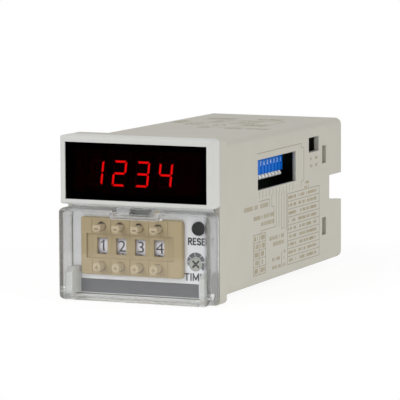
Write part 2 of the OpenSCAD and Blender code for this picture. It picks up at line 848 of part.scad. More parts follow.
module end_plate_left() {
    end_plate(units_x0, -1, left_end_w);
}

module end_plate_right() {
    end_plate(units_x1, 1, right_end_w);
}

module thumbwheel_unit(i) {
    x = unit_x(i);
    x0 = x - unit_w / 2;
    x1 = x + unit_w / 2;
    color(preset_colour) {
        difference() {
            group_face(x0, x1, x0 - over, x1 + over);
            block([x - view_w / 2, x + view_w / 2], [face_y0 - over, face_y1 + over],
                  [units_z - view_h / 2, units_z + view_h / 2]);
            for (s = [-1, 1]) {
                translate([x, 0, units_z + s * button_z])
                    rod_y(button_r + button_gap, face_y0 - over, face_y1 + over);
            }
        }
        difference() {
            block([x0, x1], [face_y1, case_y1], [units_z - unit_case_h / 2, units_z + unit_case_h / 2]);
            block([x0 + case_t, x1 + over], [face_y1 - over, case_y1 - case_t],
                  [units_z - case_inner_h, units_z + case_inner_h]);
        }
        translate([0, wheel_y, units_z]) {
            rod_x(axle_r, x0 + case_t - sliver, x1 - 0.1);
            rod_x(axle_r + 0.6, x0 + case_t - sliver, x - wheel_w / 2 - 0.1);
        }
    }
}

// Saw teeth of the ratchet, in Y and Z
module ratchet_outline() {
    step = 360 / wheel_steps;
    polygon([for (k = [0:wheel_steps - 1], p = [[0, ratchet_r], [0.85 * step, ratchet_r - tooth_h]])
             [p[1] * cos(k * step + p[0]), p[1] * sin(k * step + p[0])]]);
}

module number_wheel(i) {
    x = unit_x(i);
    color([0.87, 0.86, 0.9]) translate([0, wheel_y, units_z]) difference() {
        union() {
            rod_x(wheel_r, x - wheel_w / 2, x + wheel_w / 2);
            run_x(x + wheel_w / 2 - sliver, x + wheel_w / 2 + ratchet_w) ratchet_outline();
        }
        rod_x(axle_r + pin_gap, x - unit_w, x + unit_w);
    }
}

// Push button above (s = 1) or below (s = -1) the wheel, with its collar and pawl
module push_button(i, s, flat) {
    x = unit_x(i);
    z = units_z + s * button_z;
    inner = units_z + s * (button_z - collar_in);
    outer = units_z + s * (case_inner_h - button_gap);
    pawl_x = x + wheel_w / 2 + (unit_w - wheel_w) / 4 - pawl_w / 2;
    color(button_colour) {
        translate([x, 0, z]) difference() {
            rod_y(button_r, face_y0 - button_out, collar_y0);
            block([-button_r - over, button_r + over], [face_y0 - button_out - over, collar_y0 + over],
                  [flat, button_r + over]);
        }
        block([x - collar_w / 2, x + collar_w / 2], [collar_y0, collar_y0 + collar_t],
              [min(inner, outer), max(inner, outer)]);
        block([pawl_x, pawl_x + pawl_w], [collar_y0, wheel_y],
              [min(inner, z), max(inner, z)]);
    }
}

module main_board() {
    color(board_colour) block([main_x0, main_x1], [board_y, board_y1], [-board_h / 2, board_h / 2]);
}

module dip_switch_body() {
    color([0.08, 0.3, 0.75]) {
        difference() {
            block([main_x1, dip_top_x], [dip_y - dip_len / 2, dip_y + dip_len / 2],
                  [dip_z0, dip_z0 + dip_w]);
            for (i = [1:dip_count]) {
                block([main_x1 + over, dip_top_x - dip_skin],
                      [key_y(i) - key_w / 2 - button_gap, key_y(i) + key_w / 2 + button_gap],
                      [dip_z0 - over, dip_z0 + key_slot_h]);
                block([dip_top_x - groove_d, dip_top_x + over],
                      [key_y(i) - groove_w / 2, key_y(i) + groove_w / 2],
                      [dip_z0 - over, dip_z0 + groove_h]);
            }
        }
        translate([key_pin_x, dip_y, key_pin_z])
            rod_y(key_pin_r, -dip_len / 2 + dip_skin / 2, dip_len / 2 - dip_skin / 2);
    }
}

// Key that leans out of the lower side of the switch
module dip_key(i) {
    color([0.93, 0.93, 0.92]) translate([key_pin_x, 0, key_pin_z]) difference() {
        run_y(key_y(i) - key_w / 2, key_y(i) + key_w / 2) rotate(key_lean) {
            circle(r = key_hub_r);
            translate([-key_t / 2, -key_reach]) square([key_t, key_reach]);
            translate([0, -key_reach]) circle(r = key_t / 2);
        }
        rod_y(key_pin_r + pin_gap, key_y(i) - key_w, key_y(i) + key_w);
    }
}

module slide_switch_body() {
    top_x = main_x1 + slide_tall;
    half_slot = (slide_travel + knob_len) / 2 + run_gap;
    color([0.12, 0.12, 0.12]) difference() {
        block([main_x1, top_x], [slide_y - slide_len / 2, slide_y + slide_len / 2],
              [slide_window_z - slide_w / 2, slide_window_z + slide_w / 2]);
        block([top_x - knob_deep - run_gap, top_x + over],
              [slide_y - half_slot, slide_y + half_slot],
              [slide_window_z - knob_w / 2 - run_gap, slide_window_z + knob_w / 2 + run_gap]);
    }
}

module slide_switch_knob() {
    top_x = main_x1 + slide_tall;
    y0 = slide_y - (slide_travel + knob_len) / 2;
    color([0.2, 0.2, 0.2]) {
        block([top_x - knob_deep, top_x + knob_out], [y0, y0 + knob_len],
              [slide_window_z - knob_w / 2, slide_window_z + knob_w / 2]);
    }
}

module microcontroller() {
    size = 14;
    thick = 2.2;
    lead_w = 0.5;
    lead_pitch = 1.27;
    lead_reach = 1.2;
    lead_n = 8;
    y = dip_y;
    z = -board_h / 6;
    color([0.08, 0.08, 0.08]) {
        block([main_x0 - thick, main_x0 - 0.2], [y - size / 2, y + size / 2], [z - size / 2, z + size / 2]);
        for (k = [0:lead_n - 1]) {
            t = (k - (lead_n - 1) / 2) * lead_pitch;
            block([main_x0 - 0.8, main_x0], [y + t - lead_w / 2, y + t + lead_w / 2],
                  [z - size / 2 - lead_reach, z + size / 2 + lead_reach]);
        }
    }
}

module power_board() {
    color(board_colour) block([power_x0, power_x1], [board_y, board_y1], [-board_h / 2, board_h / 2]);
}

// Laminated core round a wound bobbin, on the power board
module transformer() {
    core_l = 25;
    core_w = 21;
    core_t = 8;
    lift = 6;
    limb = 4;
    coil = 3.5;
    slot_h = core_w - 2 * limb;
    y = board_y1 - core_l / 2 - 8;
    color([0.45, 0.4, 0.33]) translate([power_x1 + lift, y, 0]) {
        difference() {
            block([0, core_t], [-core_l / 2, core_l / 2], [-core_w / 2, core_w / 2]);
            for (side = [-1, 1]) {
                translate([0, side * core_l / 4, 0])
                    block([-over, core_t + over], [-limb / 2, limb / 2], [-slot_h / 2, slot_h / 2]);
            }
        }
        block([-coil, core_t + coil], [-core_l / 4 + limb / 2 - coil, core_l / 4 - limb / 2 + coil],
              [-slot_h / 2 + 0.3, slot_h / 2 - 0.3]);
        block([-lift, -coil + sliver], [-core_l / 4, core_l / 4], [-slot_h / 2 + 1, slot_h / 2 - 1]);
    }
}

module relay() {
    long = 20;
    wide = 10;
    tall = 15;
    r = 0.8;
    y = board_y + 4 + long / 2;
    z = board_h / 4;
    color([0.15, 0.2, 0.35]) translate([0, y, z]) run_x(power_x1, power_x1 + tall) rounded(long, wide, r);
}

module capacitor() {
    r = 5;
    tall = 16;
    groove = 0.4;
    y = board_y + 6 + r;
    z = -board_h / 4;
    color([0.1, 0.12, 0.25]) translate([power_x1, y, z]) rotate([0, 90, 0])
        rotate_extrude() polygon([[0, 0], [r, 0], [r, 2], [r - groove, 2.4], [r, 2.8], [r, tall],
                                  [r - 0.6, tall], [r - 0.6, tall - 0.3], [0, tall - 0.3]]);
}

// Hook on the right of the terminal block that snaps into a latch window
module latch_hook() {
    x1 = cavity_w / 2 - seat_gap;
    run_z(-latch_h / 2 + run_gap, latch_h / 2 - run_gap)
        polygon([[x1 - arm_t, latch_y0 + seat_gap], [x1, latch_y0 + seat_gap],
                 [x1 + barb_in, latch_y1 - over], [x1 + barb_in, latch_y1 - seat_gap],
                 [x1, latch_y1 - seat_gap], [x1, base_y0 + sliver],
                 [x1 - arm_t, base_y0 + sliver]]);
}

module terminal_block() {
    row_w = term_count * term_pitch + barrier_t;
    color(terminal_colour) {
        difference() {
            union() {
                run_y(base_y0, base_y1) rounded(2 * base_half_w, 2 * base_half_h, cavity_r + seat_gap);
                for (s = [-1, 1]) {
                    translate([0, 0, s * term_z]) {
                        block([-row_w / 2, row_w / 2], [base_y1 - sliver, bank_y1],
                              [-bank_w / 2, bank_w / 2]);
                        for (i = [0:term_count]) {
                            x = (i - term_count / 2) * term_pitch;
                            block([x - barrier_t / 2, x + barrier_t / 2], [bank_y1 - sliver, barrier_y1],
                                  [-bank_w / 2, bank_w / 2]);
                        }
                    }
                }
            }
            each_terminal() rod_y(screw_r + pin_gap, base_y0 + 0.6, bank_y1 + over);
        }
        for (side = [0, 1]) {
            for (z = [latch_up, -latch_down]) {
                mirror([side, 0, 0]) translate([0, 0, z]) latch_hook();
            }
        }
    }
}

// Places a copy at every terminal of both banks
module each_terminal() {
    for (i = [1:term_count]) {
        for (s = [-1, 1]) {
            translate([term_x(i), 0, s * term_z]) children();
        }
    }
}

module terminal_clamps() {
    clamp_w = term_pitch - barrier_t - 2 * seat_gap;
    clamp_l = 8;
    color(metal_colour) each_terminal() difference() {
        block([-clamp_w / 2, clamp_w / 2], [bank_y1, bank_y1 + clamp_t], [-clamp_l / 2, clamp_l / 2]);
        rod_y(screw_r + 2 * pin_gap, bank_y1 - over, bank_y1 + clamp_t + over);
    }
}

module terminal_screws() {
    slot_w = 0.7;
    slot_d = 1;
    head_y0 = bank_y1 + clamp_t;
    color(metal_colour) each_terminal() difference() {
        union() {
            rod_y(screw_r, base_y0 + 1, head_y0);
            rod_y(head_r, head_y0, head_y0 + head_t);
        }
        for (turn = [0, 90]) {
            translate([0, head_y0 + head_t, 0]) rotate([0, turn, 0])
                block([-0.7 * head_r, 0.7 * head_r], [-slot_d, over], [-slot_w / 2, slot_w / 2]);
        }
    }
}

housing();
front_panel();
front_label();
display_bezel();
display_lens();
display_board();
for (i = [1:digit_count]) {
    led_digit(i);
}
clear_cover();
reset_button();
reset_switch();
trimmer_body();
trimmer_rotor();
control_board();
end_plate_left();
end_plate_right();
for (i = [1:unit_count]) {
    thumbwheel_unit(i);
    number_wheel(i);
    push_button(i, 1, button_flat);
    push_button(i, -1, button_r);
}
main_board();
dip_switch_body();
for (i = [1:dip_count]) {
    dip_key(i);
}
slide_switch_body();
slide_switch_knob();
microcontroller();
power_board();
transformer();
relay();
capacitor();
terminal_block();
terminal_clamps();
terminal_screws();
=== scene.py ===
import json
import math

import bmesh
import bpy
from mathutils import Matrix, Vector


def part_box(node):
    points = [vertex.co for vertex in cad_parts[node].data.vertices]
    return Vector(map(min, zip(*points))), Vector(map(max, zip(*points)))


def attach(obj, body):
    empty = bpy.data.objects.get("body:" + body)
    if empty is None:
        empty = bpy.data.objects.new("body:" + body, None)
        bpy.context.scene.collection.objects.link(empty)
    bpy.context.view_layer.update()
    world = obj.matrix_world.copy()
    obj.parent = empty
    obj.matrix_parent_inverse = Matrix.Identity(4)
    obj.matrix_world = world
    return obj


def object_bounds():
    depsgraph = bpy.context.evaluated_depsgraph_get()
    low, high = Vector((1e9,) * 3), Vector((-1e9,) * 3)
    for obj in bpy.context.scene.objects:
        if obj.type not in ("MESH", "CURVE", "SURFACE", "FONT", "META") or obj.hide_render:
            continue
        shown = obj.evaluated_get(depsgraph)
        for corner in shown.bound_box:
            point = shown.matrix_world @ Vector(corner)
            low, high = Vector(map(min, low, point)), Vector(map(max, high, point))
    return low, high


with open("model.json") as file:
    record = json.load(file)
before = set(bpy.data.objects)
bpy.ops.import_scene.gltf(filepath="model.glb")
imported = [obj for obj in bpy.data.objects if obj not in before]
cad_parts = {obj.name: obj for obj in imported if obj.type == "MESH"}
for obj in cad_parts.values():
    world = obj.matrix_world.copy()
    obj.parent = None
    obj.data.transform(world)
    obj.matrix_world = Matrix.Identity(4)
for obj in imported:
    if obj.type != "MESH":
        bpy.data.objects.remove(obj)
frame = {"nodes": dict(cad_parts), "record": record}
cadLow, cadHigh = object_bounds()
nodes = frame["nodes"]
scene = bpy.context.scene
mm = 0.001
print("frame loaded:", len(nodes), "nodes")


# small helpers for node trees

def tone(red, green, blue):  # screen colour as linear light
    def linear(part):
        part /= 255
        return part / 12.92 if part <= 0.04045 else ((part + 0.055) / 1.055) ** 2.4
    return (linear(red), linear(green), linear(blue), 1.0)


def addNode(tree, kind, values=None, **settings):
    node = tree.nodes.new(kind)
    for name, value in settings.items():
        setattr(node, name, value)
    for socket, value in (values or {}).items():
        node.inputs[socket].default_value = value
    return node


def wire(tree, source, output, target, socket):
    tree.links.new(source.outputs[output], target.inputs[socket])


def chain(tree, *links):  # each node's first output into the next one's first input
    for source, target in zip(links, links[1:]):
        wire(tree, source, 0, target, 0)


def newGroup(name, kind, inputs, outputs):  # sockets by label: a number to start from, or a kind alone
    group = bpy.data.node_groups.new(name, kind)
    for direction, sockets in (("INPUT", inputs), ("OUTPUT", outputs)):
        for label, value in sockets.items():
            bare = isinstance(value, str)
            socketKind = value if bare else "Int" if isinstance(value, int) else "Float"
            socket = group.interface.new_socket(label, in_out=direction,
                                                socket_type=f"NodeSocket{socketKind}")
            if not bare:
                socket.default_value = value
    return group, group.nodes.new("NodeGroupInput"), group.nodes.new("NodeGroupOutput")


def millimetres(tree):  # Object coordinates, counted in millimetres
    place = addNode(tree, "ShaderNodeTexCoord")
    scaled = addNode(tree, "ShaderNodeVectorMath", {"Scale": 1 / mm}, operation="SCALE")
    wire(tree, place, "Object", scaled, 0)
    return scaled


def higher(tree, first, firstOutput, second, secondOutput):
    most = addNode(tree, "ShaderNodeMath", operation="MAXIMUM")
    wire(tree, first, firstOutput, most, 0)
    wire(tree, second, secondOutput, most, 1)
    return most


def rampOf(tree, start, stop, low=0.0):  # low up to the start, one from the stop on
    return addNode(tree, "ShaderNodeMapRange", {"From Min": start, "From Max": stop, "To Min": low})


def blendOf(tree, first, second):  # two colours, mixed by input 0 and given by output 2
    return addNode(tree, "ShaderNodeMix", {6: first, 7: second}, data_type="RGBA")


# finishes that several materials share

grainSet = {"detail": 3.0, "broken": 0.65, "driftScale": 0.11, "driftDetail": 2.0, "roughSpread": 0.25}
marksSet = {"stretch": (0.35, 0.35, 0.12), "scale": 0.8, "detail": 4.0, "bend": 0.6}
noiseMiddle = 0.5


def makeMouldedGrain(look):  # fine spark texture and a slow drift of shade, as on moulded plastic
    group, start, end = newGroup(
        "mouldedGrain", "ShaderNodeTree",
        {"Colour": "Color", "Grain Scale": 4.0, "Mottle": 0.05, "Roughness": 0.5},
        {"Colour": "Color", "Roughness": "Float", "Height": "Float"})
    place = millimetres(group)
    fine = addNode(group, "ShaderNodeTexNoise", {"Detail": look["detail"], "Roughness": look["broken"]})
    broad = addNode(group, "ShaderNodeTexNoise", {"Scale": look["driftScale"], "Detail": look["driftDetail"]})
    drift = addNode(group, "ShaderNodeMath", {1: noiseMiddle}, operation="SUBTRACT")
    shade = addNode(group, "ShaderNodeMath", {2: 1.0}, operation="MULTIPLY_ADD")
    colour = addNode(group, "ShaderNodeHueSaturation")
    spread = addNode(group, "ShaderNodeMath", {1: noiseMiddle}, operation="SUBTRACT")
    rough = addNode(group, "ShaderNodeMath", {1: look["roughSpread"]}, operation="MULTIPLY_ADD")
    chain(group, place, broad, drift, shade)
    wire(group, start, "Mottle", shade, 1)
    wire(group, shade, 0, colour, "Value")
    wire(group, start, "Colour", colour, "Color")
    chain(group, place, fine, spread, rough)
    wire(group, start, "Grain Scale", fine, "Scale")
    wire(group, start, "Roughness", rough, 2)
    wire(group, colour, 0, end, "Colour")
    wire(group, rough, 0, end, "Roughness")
    wire(group, fine, 0, end, "Height")
    return group


def makeHandlingMarks(look):  # faint wipe marks that break up a polished surface
    group, start, end = newGroup("handlingMarks", "ShaderNodeTree",
                                 {"Roughness": 0.05, "Marks": 0.05}, {"Roughness": "Float"})
    stretch = addNode(group, "ShaderNodeMapping", {"Scale": look["stretch"]})
    smear = addNode(group, "ShaderNodeTexNoise",
                    {"Scale": look["scale"], "Detail": look["detail"], "Distortion": look["bend"]})
    wipe = addNode(group, "ShaderNodeMath", operation="MULTIPLY_ADD")
    chain(group, millimetres(group), stretch, smear, wipe)
    wire(group, start, "Marks", wipe, 1)
    wire(group, start, "Roughness", wipe, 2)
    wire(group, wipe, 0, end, "Roughness")
    return group


mouldedGrain = makeMouldedGrain(grainSet)
handlingMarks = makeHandlingMarks(marksSet)
edgeSamples = 4


def newMaterial(name):
    material = bpy.data.materials.new(name)
    material.use_nodes = True
    tree = material.node_tree
    return material, tree, tree.nodes["Principled BSDF"]


def softNormal(tree, shader, heightNode, output, depth, edge):  # grain over softly broken edges
    bump = addNode(tree, "ShaderNodeBump", {"Distance": depth * mm})
    broken = addNode(tree, "ShaderNodeBevel", {"Radius": edge * mm}, samples=edgeSamples)
    wire(tree, heightNode, output, bump, "Height")
    wire(tree, broken, 0, bump, "Normal")
    wire(tree, bump, 0, shader, "Normal")


def grainOn(tree, shader, look):  # moulded grain in a shader's colour and roughness
    grain = addNode(tree, "ShaderNodeGroup", {"Grain Scale": look["grain"], "Mottle": look["mottle"],
                                              "Roughness": look["rough"]}, node_tree=mouldedGrain)
    wire(tree, grain, "Colour", shader, "Base Color")
    wire(tree, grain, "Roughness", shader, "Roughness")
    return grain


def mouldedPlastic(name, look):
    material, tree, shader = newMaterial(name)
    grain = grainOn(tree, shader, look)
    grain.inputs["Colour"].default_value = look["colour"]
    softNormal(tree, shader, grain, "Height", look["depth"], look["edge"])
    shader.inputs["Specular IOR Level"].default_value = look["gloss"]
    return material


finishes = {}

# plain moulded plastics, each under its material slot

plasticLooks = {
    "housing_plastic": {"name": "housingPlastic", "colour": tone(189, 186, 175), "rough": 0.62, "grain": 4.5,
                        "depth": 0.02, "mottle": 0.07, "edge": 0.25, "gloss": 0.5},
    # terminal block: its own grey, set darker than the housing, partly painted shade for its hooks seen in
    # the latch windows
    "terminal_plastic": {"name": "terminalPlastic", "colour": tone(140, 136, 122), "rough": 0.58,
                         "grain": 4.5, "depth": 0.02, "mottle": 0.08, "edge": 0.2, "gloss": 0.35},
    "front_plastic": {"name": "frontPlastic", "colour": tone(206, 207, 203), "rough": 0.48, "grain": 6.0,
                      "depth": 0.008, "mottle": 0.03, "edge": 0.2, "gloss": 0.4},
    "preset_plastic": {"name": "presetPlastic", "colour": tone(180, 161, 123), "rough": 0.5, "grain": 5.0,
                       "depth": 0.012, "mottle": 0.1, "edge": 0.2, "gloss": 0.4},
    "button_plastic": {"name": "buttonPlastic", "colour": tone(197, 180, 148), "rough": 0.42, "grain": 6.0,
                       "depth": 0.008, "mottle": 0.08, "edge": 0.25, "gloss": 0.45},
    "wheel_plastic": {"name": "wheelPlastic", "colour": tone(240, 236, 244), "rough": 0.5, "grain": 5.0,
                      "depth": 0.006, "mottle": 0.04, "edge": 0.1, "gloss": 0.4},
    "black_plastic": {"name": "blackPlastic", "colour": tone(20, 20, 21), "rough": 0.5, "grain": 5.0,
                      "depth": 0.012, "mottle": 0.12, "edge": 0.2, "gloss": 0.1},
    "blue_plastic": {"name": "bluePlastic", "colour": tone(12, 112, 214), "rough": 0.5, "grain": 6.0,
                     "depth": 0.01, "mottle": 0.1, "edge": 0.1, "gloss": 0.15},
    "white_plastic": {"name": "keyPlastic", "colour": tone(238, 238, 234), "rough": 0.4, "grain": 6.0,
                      "depth": 0.006, "mottle": 0.04, "edge": 0.12, "gloss": 0.45},
    "label_sheet": {"name": "labelSheet", "colour": tone(236, 236, 239), "rough": 0.38, "grain": 9.0,
                    "depth": 0.003, "mottle": 0.02, "edge": 0.04, "gloss": 0.4},
    "led_module": {"name": "ledModule", "colour": tone(9, 8, 8), "rough": 0.6, "grain": 8.0,
                   "depth": 0.006, "mottle": 0.1, "edge": 0.08, "gloss": 0.2},
    "capacitor_can": {"name": "capacitorSleeve", "colour": tone(28, 32, 62), "rough": 0.35, "grain": 3.0,
                      "depth": 0.006, "mottle": 0.1, "edge": 0.2, "gloss": 0.5},
}
for slot, look in plasticLooks.items():
    finishes[slot] = mouldedPlastic(look["name"], look)


# grey rotor of the trimmer, with painted shade in its slots, darker the deeper they go behind its face

# slot is the colour of the painted shade in the rotor's slots, reached from sunk to deep millimetres behind
# its face
rotorLook = {"colour": tone(176, 177, 168), "slot": tone(52, 50, 40), "sunk": 0.06, "deep": 0.5,
             "rough": 0.4, "grain": 6.0, "depth": 0.008, "mottle": 0.1, "edge": 0.12, "gloss": 0.5}


def slottedRotor(name, look):
    material = mouldedPlastic(name, look)
    tree = material.node_tree
    grain = next(node for node in tree.nodes if node.type == "GROUP")
    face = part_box("trimmer_rotor")[0].y / mm
    parts = addNode(tree, "ShaderNodeSeparateXYZ")
    depth = rampOf(tree, face + look["sunk"], face + look["deep"])
    # painted shade: the colour darkens towards the slot colour with depth behind the rotor's face
    shade = blendOf(tree, look["colour"], look["slot"])
    chain(tree, millimetres(tree), parts)
    wire(tree, parts, "Y", depth, "Value")
    chain(tree, depth, shade)
    wire(tree, shade, 2, grain, "Colour")
    return material


finishes["grey_plastic"] = slottedRotor("rotorPlasticSlotShade", rotorLook)


# laminate with faint conductor runs under a dark solder mask

boardLook = {"mask": tone(16, 26, 22), "run": tone(26, 42, 34), "cell": 2.6, "cells": 3, "line": 0.06,
             "rough": 0.35, "grain": 3.0, "mottle": 0.15}


def boardLaminate(name, look):
    material, tree, shader = newMaterial(name)
    runs = addNode(tree, "ShaderNodeTexBrick", {
        "Scale": 1.0, "Mortar Size": look["line"] * look["cell"], "Brick Width": look["cells"] * look["cell"],
        "Row Height": look["cell"], "Color1": look["mask"], "Color2": look["mask"], "Mortar": look["run"]})
    turn = addNode(tree, "ShaderNodeMapping", {"Rotation": (0, math.radians(90), 0)})
    grain = grainOn(tree, shader, look)
    chain(tree, millimetres(tree), turn, runs)
    wire(tree, runs, "Color", grain, "Colour")
    return material


finishes["board_laminate"] = boardLaminate("boardLaminate", boardLook)


# stacked sheets of the transformer's core, seen as fine stripes along X

coreLook = {"dark": tone(78, 74, 70), "pale": tone(128, 122, 112), "stripe": 0.5, "waver": 0.4,
            "rough": 0.45, "grain": 4.0, "mottle": 0.2, "depth": 0.03, "edge": 0.1}
waveScale = 0.31  # at this scale a wave texture has one stripe in a millimetre


def stackedCore(name, look):
    material, tree, shader = newMaterial(name)
    stripes = addNode(tree, "ShaderNodeTexWave", {"Scale": waveScale / look["stripe"],
                                                  "Distortion": look["waver"]}, bands_direction="X")
    shade = blendOf(tree, look["dark"], look["pale"])
    grain = grainOn(tree, shader, look)
    chain(tree, millimetres(tree), stripes)
    wire(tree, stripes, "Fac", shade, 0)
    wire(tree, shade, 2, grain, "Colour")
    softNormal(tree, shader, stripes, "Fac", look["depth"], look["edge"])
    return material


finishes["coil_core"] = stackedCore("stackedCore", coreLook)


# zinc plate with fine drawn streaks

steelLook = {"colour": tone(196, 196, 192), "shade": tone(150, 149, 144), "stretch": (6.0, 0.8, 1.2),
             "scale": 2.0, "detail": 4.0, "rough": 0.28, "streak": 0.22, "depth": 0.008, "edge": 0.15}


def platedSteel(name, look):
    material, tree, shader = newMaterial(name)
    stretch = addNode(tree, "ShaderNodeMapping", {"Scale": look["stretch"]})
    streaks = addNode(tree, "ShaderNodeTexNoise", {"Scale": look["scale"], "Detail": look["detail"]})
    shade = blendOf(tree, look["colour"], look["shade"])
    rough = addNode(tree, "ShaderNodeMath", {1: look["streak"], 2: look["rough"]}, operation="MULTIPLY_ADD")
    chain(tree, millimetres(tree), stretch, streaks, shade)
    wire(tree, shade, 2, shader, "Base Color")
    chain(tree, streaks, rough)
    wire(tree, rough, 0, shader, "Roughness")
    softNormal(tree, shader, streaks, 0, look["depth"], look["edge"])
    shader.inputs["Metallic"].default_value = 1.0
    return material


finishes["plated_steel"] = platedSteel("platedSteel", steelLook)


def seeThrough(name, look):  # polished plastic and its handling marks
    material, tree, shader = newMaterial(name)
    marks = addNode(tree, "ShaderNodeGroup", {"Roughness": look["rough"], "Marks": look["marks"]},
                    node_tree=handlingMarks)
    shader.inputs["Transmission Weight"].default_value = 1.0
    shader.inputs["IOR"].default_value = look["ior"]
    return material, tree, shader, marks


# dark red filter in front of the digits, its border black as painted shade over the ledge seen through it

lensLook = {"filter": (0.34, 0.03, 0.03, 1.0), "rim": (0.004, 0.004, 0.004, 1.0), "border": 1.8,
            "soft": 0.2, "rough": 0.02, "marks": 0.06, "ior": 1.08}


def filterLens(name, look):
    material, tree, shader, marks = seeThrough(name, look)
    wire(tree, marks, "Roughness", shader, "Roughness")
    low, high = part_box("display_lens")
    moved = addNode(tree, "ShaderNodeVectorMath", {1: (low + high) / 2 / mm}, operation="SUBTRACT")
    away = addNode(tree, "ShaderNodeVectorMath", operation="ABSOLUTE")
    inside = addNode(tree, "ShaderNodeVectorMath", {1: (high - low) / 2 / mm}, operation="SUBTRACT")
    parts = addNode(tree, "ShaderNodeSeparateXYZ")
    border = rampOf(tree, -look["border"], look["soft"] - look["border"])
    # painted shade: the lens is black within its border
    tint = blendOf(tree, look["filter"], look["rim"])
    chain(tree, millimetres(tree), moved, away, inside, parts)
    chain(tree, higher(tree, parts, "X", parts, "Z"), border, tint)
    wire(tree, tint, 2, shader, "Base Color")
    return material


finishes["smoked_lens"] = filterLens("filterLens", lensLook)


# clear moulded cover: its side walls are tinted darker as painted shade and pass less light, and its rim is
# less polished than its plate

coverLook = {"plate": (0.97, 0.975, 0.975, 1.0), "platePass": (0.93, 0.935, 0.935, 1.0), "side": 1.5,
             "wall": (0.66, 0.66, 0.655, 1.0), "wallPass": (0.72, 0.72, 0.715, 1.0), "soft": 0.2,
             "rim": 2.0, "rimRough": 0.22, "rough": 0.01, "marks": 0.05, "ior": 1.49}


def clearAcrylic(name, look):
    material, tree, shader, marks = seeThrough(name, look)
    low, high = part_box("clear_cover")
    inner = high.x / mm - look["side"]
    reach = (high.z - low.z) / 2 / mm - look["rim"]
    parts = addNode(tree, "ShaderNodeSeparateXYZ")
    away = addNode(tree, "ShaderNodeMath", operation="ABSOLUTE")
    walls = rampOf(tree, inner - look["soft"], inner)
    fromMiddle = addNode(tree, "ShaderNodeMath", {1: (low.z + high.z) / 2 / mm}, operation="SUBTRACT")
    upOrDown = addNode(tree, "ShaderNodeMath", operation="ABSOLUTE")
    ends = rampOf(tree, reach - look["soft"], reach)
    rougher = addNode(tree, "ShaderNodeMath", {1: look["rimRough"]}, operation="MULTIPLY_ADD")
    # painted shade: the side walls are tinted darker than the plate
    tint = blendOf(tree, look["plate"], look["wall"])
    passed = blendOf(tree, look["platePass"], look["wallPass"])
    chain(tree, millimetres(tree), parts)
    wire(tree, parts, "X", away, 0)
    chain(tree, away, walls)
    wire(tree, parts, "Z", fromMiddle, 0)
    chain(tree, fromMiddle, upOrDown, ends)
    chain(tree, higher(tree, walls, 0, ends, 0), rougher)
    wire(tree, marks, "Roughness", rougher, 2)
    wire(tree, rougher, 0, shader, "Roughness")
    chain(tree, walls, tint)
    chain(tree, walls, passed)
    wire(tree, tint, 2, shader, "Base Color")
    path = addNode(tree, "ShaderNodeLightPath")
    clear = addNode(tree, "ShaderNodeBsdfTransparent")
    mixed = addNode(tree, "ShaderNodeMixShader")
    wire(tree, passed, 2, clear, "Color")
    chain(tree, higher(tree, path, "Is Shadow Ray", path, "Is Diffuse Ray"), mixed)
    wire(tree, shader, 0, mixed, 1)
    wire(tree, clear, 0, mixed, 2)
    wire(tree, mixed, 0, tree.nodes["Material Output"], "Surface")
    return material


finishes["clear_plastic"] = clearAcrylic("clearAcrylic", coverLook)

for part in frame["record"]["subparts"]:
    mesh = nodes[part["node"]].data
    mesh.materials.clear()
    mesh.materials.append(finishes[part["material_slot"]])
print("finishes on all nodes:", len(finishes))


# inks and the lit segments

inkLooks = {
    "lineInk": {"colour": tone(148, 139, 118), "mottle": 0.25, "rough": 0.6},
    "wordInk": {"colour": tone(157, 145, 116), "mottle": 0.3, "rough": 0.6},
    "topInk": {"colour": tone(148, 145, 120), "mottle": 0.3, "rough": 0.6},
    "bandInk": {"colour": tone(97, 97, 102), "mottle": 0.04, "rough": 0.4},
    "darkInk": {"colour": tone(58, 58, 62), "mottle": 0.06, "rough": 0.45},
    "wheelInk": {"colour": tone(46, 46, 58), "mottle": 0.06, "rough": 0.5},
    # painted shade: the dark of the engraved minus signs and of the embossed plus signs' edges
    "minusInk": {"colour": tone(104, 84, 56), "mottle": 0.1, "rough": 0.6},
    "plusInk": {"colour": tone(158, 138, 104), "mottle": 0.1, "rough": 0.6},
    "whiteInk": {"colour": tone(206, 224, 248), "mottle": 0.03, "rough": 0.5},
    "segmentUnlit": {"colour": tone(14, 9, 9), "mottle": 0.1, "rough": 0.35},
}
inkGrain = 14.0
glowLook = {"core": (1.0, 0.07, 0.07, 1.0), "rim": (0.85, 0.05, 0.05, 1.0), "strength": 2.1,
            "uneven": 1.6, "detail": 1.0, "rough": 0.4}


def printInk(name, look):
    material, tree, shader = newMaterial(name)
    grain = grainOn(tree, shader, {**look, "grain": inkGrain})
    grain.inputs["Colour"].default_value = look["colour"]
    return material


def segmentGlow(name, look):
    material, tree, shader = newMaterial(name)
    uneven = addNode(tree, "ShaderNodeTexNoise", {"Scale": look["uneven"], "Detail": look["detail"]})
    blend = blendOf(tree, look["rim"], look["core"])
    chain(tree, millimetres(tree), uneven, blend)
    wire(tree, blend, 2, shader, "Emission Color")
    shader.inputs["Base Color"].default_value = look["rim"]
    shader.inputs["Emission Strength"].default_value = look["strength"]
    shader.inputs["Roughness"].default_value = look["rough"]
    return material


inks = {name: printInk(name, look) for name, look in inkLooks.items()}
segmentLit = segmentGlow("segmentLit", glowLook)


# drawing planes in millimetres: across, up, and out of the surface

inkLow, inkHigh = -0.005, 0.02  # an ink layer starts just under its surface
inkLift = inkHigh - inkLow
inkMiddle = (inkLow + inkHigh) / 2


def flatOn(origin, across, up):
    across, up = Vector(across).normalized(), Vector(up).normalized()
    turned = Matrix((across, up, across.cross(up))).transposed().to_4x4()
    return Matrix.Translation(Vector(origin)) @ turned @ Matrix.Scale(mm, 4)


def facingFront(x, y, z):
    return flatOn((x, y, z), (1, 0, 0), (0, 0, 1))


